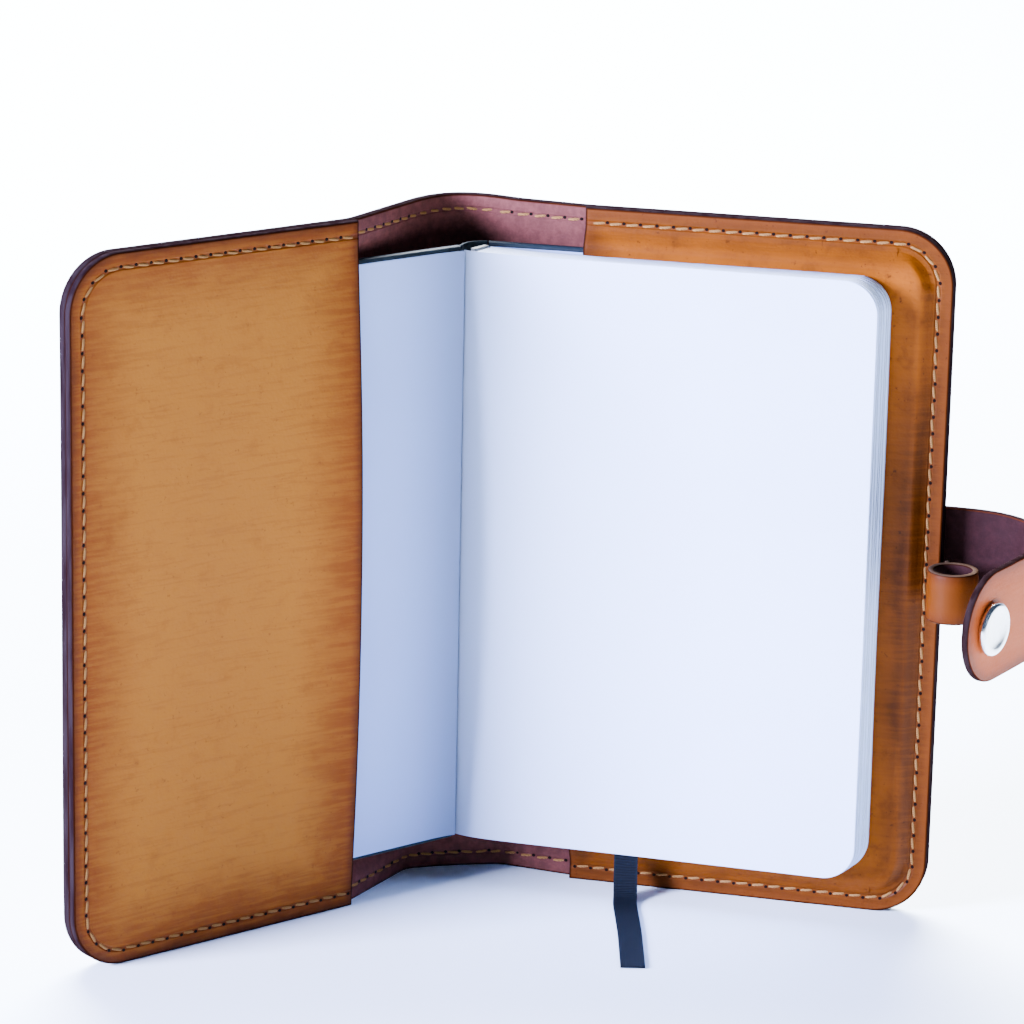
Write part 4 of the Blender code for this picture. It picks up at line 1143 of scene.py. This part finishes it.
# ---- Notebook -----------------------------------------------------------------------
@dataclass
class Notebook:
    """Boards, endpapers, leaves and ribbon.

    Args:
        layout: the cover's plan.
        finishes: the materials.
        board: a board's thickness.
        front_start: where the front board begins along its cover.
        back_start: where the back board begins along its cover.
        front_level: inward position of the front board's outer face.
        back_level: inward position of the back board's outer face.
        gutter_along: where the open page leaves the gutter.
        gutter_inward: inward position of the open page there.
        signatures: how many sections the block has.
        slant: how much further back the front leaves begin than the rear ones.
    """

    layout: Layout
    finishes: Finishes
    board: float = 2.2 * MM
    front_start: float = -32.1 * MM
    back_start: float = -23.6 * MM
    front_level: float = -1.45 * MM
    back_level: float = 0.8 * MM
    gutter_along: float = -27.7 * MM
    gutter_inward: float = 10.2 * MM
    signatures: int = 6
    slant: float = 2.0 * MM

    def plate(self, name: str, side: CoverSide, start: float, width: float, bottom: float,
              height: float, radius: float, middle: Callable[[Array, Array], Array],
              thickness: float, shoulder: float, columns: int = 50) -> bpy.types.Object:
        """Makes a plate round a middle surface given as inward(along, up)."""
        rim = np.array([0.0, 0.12, 0.35, 0.7, 1.6]) * MM
        grid = plate_grid(start, start + width, height, radius, columns, 40, rim,
                          near_rim=True)
        half = rounded_half(grid.inset, thickness, shoulder)
        up = grid.up + bottom
        level = middle(grid.along, up)
        inset = grid.inset / MM
        edge = np.clip(1 - inset / 0.1, 0, 1)
        depth = level / MM
        run = np.maximum(grid.along - start, 0)
        # The gutter value is painted shade: it darkens the sheet towards its spine end, fading
        # over about 15 mm.
        values = {"inset": inset, "rim": edge,
                  "gutter": 0.9 * np.exp(-(run / (15 * MM)) ** 1.5),
                  "depth": (depth + thickness / 2 / MM, depth - thickness / 2 / MM)}
        return sheet(name, side.place(grid.along, level + half, up),
                     side.place(grid.along, level - half, up), values)

    def boards(self) -> None:
        """Makes the two boards and the endpapers pasted to them."""
        lay, fin = self.layout, self.finishes
        both = (("front", lay.left, self.front_start, self.front_level, "front_board_body"),
                ("back", lay.right, self.back_start, self.back_level, "book_block"))
        for key, side, start, level, body in both:
            middle = level + self.board / 2
            board = self.plate(f"{key}_board_covered", side, start, PAGE_WIDTH - 0.5 * MM,
                               PAGE_BOTTOM - 1 * MM, PAGE_HEIGHT + 2 * MM, PAGE_CORNER,
                               lambda a, z, m=middle: np.full(a.shape, m), self.board,
                               0.8 * MM)
            dress(board, fin.boards)
            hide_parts(f"{key}_board")
            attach(board, body)
            over = level + self.board + 0.18 * MM
            dip = 0.9 * MM if key == "front" else 0.0
            paste = self.plate(
                f"{key}_endpaper", side, start, PAGE_WIDTH - 1.5 * MM, PAGE_BOTTOM,
                PAGE_HEIGHT, PAGE_CORNER,
                lambda a, z, o=over, s=start, d=dip:
                    o + d * np.exp(-(a - s) / (3.0 * MM)), 0.25 * MM, 0.1 * MM)
            dress(paste, fin.endpaper)
            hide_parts(f"{key}_pastedown")
            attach(paste, body)

    def back_of_block(self, along: Array) -> Array:
        """Inward position of the block's back, which rides up over the flap."""
        share = (along + 22.6 * MM) / (14.8 * MM)
        return 3.8 * MM + 2.3 * MM * smooth(share)

    def front_of_block(self, along: Array) -> Array:
        """Inward position of the open page: steep out of the gutter, then nearly flat."""
        run = np.maximum(along - self.gutter_along, 0.0)
        swell = 1.7 * MM * (1 - np.exp(-run / (5.5 * MM))) * np.exp(-run / (45 * MM))
        return self.gutter_inward + 3.8 * MM * run / PAGE_WIDTH + swell - 0.5 * MM * np.exp(
            -run / (4 * MM))

    def leaves(self) -> None:
        """Makes the sections of the block and the free first leaf."""
        side, fin = self.layout.right, self.finishes
        for i in range(self.signatures):
            low, high = i / self.signatures, (i + 1) / self.signatures
            start = self.back_start + 1.0 * MM - self.slant * low
            width = 94.9 * MM + self.slant
            rim = np.array([0.0, 0.15, 0.5]) * MM
            grid = plate_grid(start, start + width, PAGE_HEIGHT, PAGE_CORNER, 40, 16, rim,
                              near_rim=True)
            up = grid.up + PAGE_BOTTOM
            fan = 0.10 * MM * np.sin(up * 70 + 2.1 * i)
            back, front = self.back_of_block(grid.along), self.front_of_block(grid.along)
            gap = front - 0.45 * MM - back
            tight = np.clip(grid.inset / (0.4 * MM), 0, 1) * 0.06 * MM
            near, far = back + gap * high - 0.12 * MM + tight, back + gap * low + 0.06 * MM
            shake = fan * smooth((grid.along - 30 * MM) / (40 * MM))
            rims = np.clip(1 - grid.inset / (0.1 * MM), 0, 1)
            item = sheet(f"section_{i + 1}", side.place(grid.along + shake, near, up),
                         side.place(grid.along + shake, far, up),
                         {"inset": grid.inset / MM, "rim": rims,
                          "depth": (near / MM, far / MM)}, angle=40)
            dress(item, fin.leaves)
            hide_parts(f"signature_{i + 1}")
            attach(item, "book_block")
        leaf = self.plate("first_leaf", side, self.gutter_along, PAGE_WIDTH, PAGE_BOTTOM,
                          PAGE_HEIGHT, PAGE_CORNER,
                          lambda a, z: self.front_of_block(a) - 0.12 * MM, 0.2 * MM,
                          0.08 * MM, 90)
        dress(leaf, fin.page)
        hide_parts("turning_leaf")
        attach(leaf, "turning_leaf_body")

    def bindings(self) -> None:
        """Dresses the CAD's cloth joint, lining and headbands."""
        for name, material in (("spine_cloth", self.finishes.boards),
                               ("spine_lining", self.finishes.page),
                               ("headband_top", self.finishes.band),
                               ("headband_bottom", self.finishes.band)):
            paint(FRAME["nodes"][name], material)

    def build(self) -> None:
        """Makes the notebook."""
        self.boards()
        self.leaves()
        self.bindings()


@dataclass
class RibbonMarker:
    """The ribbon: out of the block's lower edge, down, and along the ground.

    Args:
        layout: the cover's plan.
        finish: the ribbon's material.
        width: the ribbon's width.
        thickness: the ribbon's thickness.
        route: its points as (along, inward, up), in metres.
    """

    layout: Layout
    finish: bpy.types.Material
    width: float = 5.8 * MM
    thickness: float = 0.4 * MM
    route: tuple = (
        (0.0160, 0.0109, 0.0106), (0.0160, 0.0111, 0.0075), (0.0162, 0.0119, 0.0040),
        (0.0167, 0.0140, 0.0013), (0.0176, 0.0180, 0.00036), (0.0204, 0.0276, 0.00034),
        (0.0230, 0.0366, 0.00034), (0.0259, 0.0475, 0.00034), (0.0286, 0.0578, 0.00034))

    def centreline(self, steps: int = 12) -> Array:
        """Returns a smooth curve through the route's points (Catmull-Rom)."""
        a, b, z = np.array(self.route).T
        p = self.layout.right.place(a, b, z)
        p = np.concatenate([[2 * p[0] - p[1]], p, [2 * p[-1] - p[-2]]])
        t = np.linspace(0, 1, steps, endpoint=False)[:, None]
        parts = []
        for i in range(len(p) - 3):
            p0, p1, p2, p3 = p[i:i + 4]
            parts.append(0.5 * (2 * p1 + (p2 - p0) * t
                                + (2 * p0 - 5 * p1 + 4 * p2 - p3) * t ** 2
                                + (3 * p1 - p0 - 3 * p2 + p3) * t ** 3))
        return np.concatenate(parts + [p[-2:-1]])

    def build(self) -> None:
        """Makes the ribbon as a thin strip with a UV map across and along it."""
        line = self.centreline()
        run = np.gradient(line, axis=0)
        run /= np.linalg.norm(run, axis=1, keepdims=True)
        length = np.concatenate([[0], np.cumsum(np.linalg.norm(np.diff(line, axis=0),
                                                               axis=1))])
        first = np.append(self.layout.right.along, 0)
        last = np.array([-run[-1][1], run[-1][0], 0.0])
        last = last if last @ first > 0 else -last
        share = smooth(length / (0.5 * length[-1]))[:, None]
        across = first * (1 - share) + last * share
        across -= run * np.sum(across * run, axis=1, keepdims=True)
        across /= np.linalg.norm(across, axis=1, keepdims=True)
        normal = np.cross(run, across)
        normal[normal[:, 2] < 0] *= -1
        v = np.linspace(-0.5, 0.5, 9)
        base = line[:, None] + across[:, None] * (v * self.width)[None, :, None]
        top = base + normal[:, None] * (self.thickness / 2)
        low = base - normal[:, None] * (self.thickness / 2)
        item = sheet("ribbon_strip", top, low)
        uv = item.data.uv_layers.new(name="UVMap")
        flat = np.stack(np.broadcast_arrays(v[None, :] + 0.5, length[:, None] * 10), -1)
        flat = np.concatenate([flat.reshape(-1, 2)] * 2)
        loops = np.empty(len(item.data.loops), np.int32)
        item.data.loops.foreach_get("vertex_index", loops)
        uv.data.foreach_set("uv", flat[loops].astype(np.float32).ravel())
        dress(item, self.finish)
        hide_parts("ribbon_marker")
        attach(item, "book_block")


# ---- Strap, snap and pen loop -------------------------------------------------------
@dataclass
class Strap:
    """The strap, its snap and the pen loop.

    Args:
        layout: the cover's plan.
        finishes: the materials.
        width: the strap's width.
        thickness: the strap's thickness.
        sewn: length sewn behind the cover, inside the fore edge.
        lead: straight length between the fore edge and the curl.
        radius: radius of the curl.
        curl: angle of the curl.
        tail: straight length after the curl.
        hinge_tail: how far down the tail its soft bend lies.
        snap_from_end: the snap's middle to the tip.
        droop: how far the strap sags from the fore edge to the tip.
        lift: how far the whole strap stands above its nominal height.
    """

    layout: Layout
    finishes: Finishes
    width: float = 26.0 * MM
    thickness: float = 1.8 * MM
    sewn: float = 34.0 * MM
    lead: float = 7.3 * MM
    radius: float = 18.2 * MM
    curl: float = math.radians(110.9)
    tail: float = 32.0 * MM
    hinge_tail: float = 12.0 * MM
    snap_from_end: float = 10.5 * MM
    droop: float = 2.7 * MM
    lift: float = 0.9 * MM

    @property
    def level(self) -> float:
        """Inward position of the strap's middle layer where it is sewn."""
        return -(self.layout.right.dish + HIDE / 2 + 0.15 * MM + self.thickness / 2)

    @property
    def curl_end(self) -> float:
        """Length from the fore edge to the end of the curl."""
        return self.lead + self.radius * self.curl

    @property
    def end(self) -> float:
        """Length from the fore edge to the tip."""
        return self.curl_end + self.tail

    def raw(self, length: Array) -> Array:
        """Returns (along, inward) of a straight lead, one arc and a straight tail."""
        turned = np.clip((length - self.lead) / self.radius, 0, self.curl)
        before = np.minimum(length, self.lead)
        after = np.maximum(length - self.curl_end, 0)
        along = (self.layout.right.panel + before + self.radius * np.sin(turned)
                 + after * math.cos(self.curl))
        inward = (self.level + self.radius * (1 - np.cos(turned))
                  + after * math.sin(self.curl))
        return np.stack([along, inward], axis=-1)

    def frame(self, length: Array) -> tuple[Array, Array]:
        """Returns plan points and inward normals, with the bends eased."""
        offsets = np.linspace(-1, 1, 11)
        weights = 1 + np.cos(math.pi * offsets)
        weights /= weights.sum()

        def eased(s: Array) -> Array:
            """Returns the mean of near points."""
            return sum(w * self.raw(s + o * 6 * MM) for o, w in zip(offsets, weights))

        step = 0.1 * MM
        run = eased(length + step) - eased(length - step)
        run /= np.linalg.norm(run, axis=-1, keepdims=True)
        return eased(length), np.stack([-run[..., 1], run[..., 0]], axis=-1)

    def surface(self, length: Array, up: Array, lift: Array) -> Array:
        """Returns 3-D points of the strap at a distance inward from its middle layer."""
        plan, normal = self.frame(length)
        spot = plan + normal * np.asarray(lift)[..., None]
        sag = self.droop * smooth(length / self.end) - self.lift
        return self.layout.right.place(spot[..., 0], spot[..., 1], STRAP_MIDDLE + up - sag)

    def leather(self) -> None:
        """Makes the strap in three pieces, cut halfway between its three hinges."""
        hinges = (1.0 * MM, self.lead + self.radius * self.curl / 2,
                  self.curl_end + self.hinge_tail)
        cuts = (-self.sewn, (hinges[0] + hinges[1]) / 2, (hinges[1] + hinges[2]) / 2,
                self.end)
        nodes = (("strap_root",), ("strap_bend_1",), ("strap_bend_2", "strap_tip"))
        reach = (5.0 * MM, 8.5 * MM, 8.0 * MM)
        for i in range(3):
            last = i == 2
            grid = plate_grid(cuts[i], cuts[i + 1], self.width, 12.9 * MM if last else 0.0,
                              70, 24, RIM_STEPS[:9], far_rim=last, near_rim=i == 0)
            half = rounded_half(grid.inset, self.thickness, 0.5 * MM)
            up = grid.up - self.width / 2
            inset = grid.inset / MM
            ones = np.ones(inset.shape)
            values = {"inset": inset, "rim": np.clip(1 - inset / 0.55, 0, 1),
                      "seam": inset + 20, "side": (0 * ones, ones)}
            item = sheet(f"strap_leather_{i + 1}", self.surface(grid.along, up, half),
                         self.surface(grid.along, up, -half), values)
            dress(item, self.finishes.strap)
            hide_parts(*nodes[i])
            near, far = (self.surface(np.array([hinges[i] + way * reach[i]]), np.zeros(1),
                                      np.zeros(1))[0] for way in (-1, 1))
            near[2] = far[2]
            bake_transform(item)

    def box_stitch(self, cover: Cover) -> None:
        """Sews the strap's end to the cover with a square of stitches."""
        low, high = -self.width / 2 + SEAM_INSET, self.width / 2 - SEAM_INSET
        near, far = -self.sewn + SEAM_INSET, -CORNER
        corners = np.array([(near, low), (far, low), (far, high), (near, high), (near, low)])
        dense = np.concatenate([np.linspace(p, q, 60) for p, q in zip(corners, corners[1:])])

        def place(a: Array, z: Array, depth: float = 0.0) -> Array:
            """Gives points on the outer face of the sewn end."""
            lift = np.full(np.shape(a), -self.thickness / 2 - depth * 0.1 * MM)
            return self.surface(a, z, lift)

        row = cover.stitches("strap_stitches", place, dense[:, 0], dense[:, 1])
        dress(row, self.finishes.thread)
        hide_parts("strap_thread")
        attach(row, "right_cover")

    def snap(self) -> None:
        """Makes the snap: cap, socket, stud and post."""
        spot = np.array([self.end - self.snap_from_end])
        zero = np.zeros(1)
        centre = self.surface(spot, zero, zero)[0]
        inward = unit(self.surface(spot, zero, zero + MM)[0] - centre)
        half = self.thickness / MM / 2
        cap = [(0.01, half + 1.25), (1.6, half + 1.27), (3.3, half + 1.4), (4.4, half + 1.72),
               (5.0, half + 1.92), (5.6, half + 1.9), (6.05, half + 1.6), (6.25, half + 1.1),
               (6.15, half + 0.5), (5.8, half + 0.1), (1.7, half + 0.02), (1.7, -half),
               (0.01, -half)]
        pieces = [("snap_cap_turned", cap, centre, -inward, "snap_cap", "strap_tip_body")]
        ring = [(0.01, half + 0.9), (2.9, half + 0.9), (3.1, half + 2.5), (3.5, half + 2.8),
                (4.4, half + 2.6), (5.2, half + 1.7), (5.4, half + 0.8), (5.3, half + 0.05),
                (0.01, half + 0.05)]
        pieces.append(("snap_socket_turned", ring, centre, inward, "snap_socket",
                       "strap_tip_body"))
        left = self.layout.left
        place = left.place(np.array(left.panel - 13.5 * MM), -left.dish,
                           np.array(STRAP_MIDDLE + self.lift - self.droop * 0.95))
        outward = np.append(-left.inward, 0)
        deep = HIDE / MM / 2
        stud = [(0.01, deep + 0.05), (4.6, deep + 0.05), (4.75, deep + 0.4), (4.3, deep + 0.85),
                (2.4, deep + 1.05), (2.0, deep + 1.3), (2.0, deep + 2.0), (2.6, deep + 2.4),
                (2.75, deep + 2.8), (2.2, deep + 3.2), (0.01, deep + 3.25)]
        pieces.append(("snap_stud_turned", stud, place, outward, "snap_stud", "left_cover"))
        post = [(0.01, -deep), (3.9, -deep), (3.9, -deep + 0.5), (0.01, -deep + 0.5)]
        pieces.append(("snap_post_turned", post, place, outward, "snap_post", "left_cover"))
        for name, profile, at, axis, node, body in pieces:
            item = lathe(name, profile, at, axis)
            dress(item, self.finishes.metal)
            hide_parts(node)
            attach(item, body)

    def pen_loop(self) -> None:
        """Makes the pen loop: a rounded band carried round an oval."""
        right = self.layout.right
        centre = (right.panel + 4.0 * MM, 10.55 * MM)
        bottom, tail_bottom = 77.5 * MM, 77.9 * MM
        rx, ry, wall, height = 6.0 * MM, 6.3 * MM, 1.6 * MM, 12.0 * MM
        turn = np.linspace(0, 2 * math.pi, 96, endpoint=False)
        u = np.linspace(0, 2 * math.pi, 40, endpoint=False)
        power = 0.28
        thick = np.sign(np.cos(u)) * np.abs(np.cos(u)) ** power * wall / 2
        tall = np.sign(np.sin(u)) * np.abs(np.sin(u)) ** power * height / 2
        along = centre[0] + np.outer(np.cos(turn), (rx - wall / 2) + thick)
        inward = centre[1] + np.outer(np.sin(turn), (ry - wall / 2) + thick)
        up = np.broadcast_to(bottom + height / 2 + tall, along.shape)
        rings = right.place(along, inward, up)
        inset = np.broadcast_to((height / 2 - np.abs(tall)) / MM, along.shape)
        rim = np.clip(1 - inset / 0.5, 0, 1)
        outside = np.broadcast_to((thick > -wall * 0.3).astype(float), along.shape)
        values = {"inset": inset, "rim": rim, "seam": inset + 20, "side": outside}
        loop = swept("pen_loop_band", rings, closed=True, values=values)
        dress(loop, self.finishes.loop)
        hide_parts("pen_loop")
        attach(loop, "right_cover")
        grid = plate_grid(0.2 * MM, 4.4 * MM, height - 0.9 * MM, 0.0, 12, 14, RIM_STEPS[:5],
                          far_rim=False, near_rim=True)
        half = rounded_half(grid.inset, 1.5 * MM, 0.4 * MM)
        level = right.panel + 1.25 * MM + 0.9 * MM * (grid.along / (5 * MM)) ** 2
        values = {"inset": grid.inset / MM, "rim": np.clip(1 - grid.inset / (0.5 * MM), 0, 1),
                  "seam": grid.inset / MM + 20, "side": np.ones(level.shape)}
        up = grid.up + tail_bottom
        tail = sheet("pen_loop_tail", right.place(level + half, grid.along, up),
                     right.place(level - half, grid.along, up), values)
        dress(tail, self.finishes.loop)
        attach(tail, "right_cover")

    def build(self, cover: Cover) -> None:
        """Makes the strap, the snap and the pen loop."""
        self.leather()
        self.box_stitch(cover)
        self.snap()
        self.pen_loop()


def main() -> None:
    """Builds every sub-assembly in order."""
    logging.basicConfig(level=logging.INFO, format="%(message)s")
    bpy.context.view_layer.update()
    layout = Layout({joint["name"]: joint for joint in FRAME["joints"]})
    Studio(layout).build()
    finishes = Finishes.make()
    RibbonMarker(layout, finishes.ribbon).build()
    cover = Cover(layout, finishes)
    cover.build()
    Notebook(layout, finishes).build()
    Strap(layout, finishes).build(cover)


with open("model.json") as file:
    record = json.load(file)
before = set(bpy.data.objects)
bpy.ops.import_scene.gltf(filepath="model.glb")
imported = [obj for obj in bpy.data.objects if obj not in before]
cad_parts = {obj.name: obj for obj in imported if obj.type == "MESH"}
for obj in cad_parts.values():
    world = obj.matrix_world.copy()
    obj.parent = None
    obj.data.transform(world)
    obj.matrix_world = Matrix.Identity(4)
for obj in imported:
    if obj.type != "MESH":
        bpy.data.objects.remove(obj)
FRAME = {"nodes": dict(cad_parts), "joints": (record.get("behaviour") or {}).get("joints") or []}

if __name__ == "__main__":
    main()
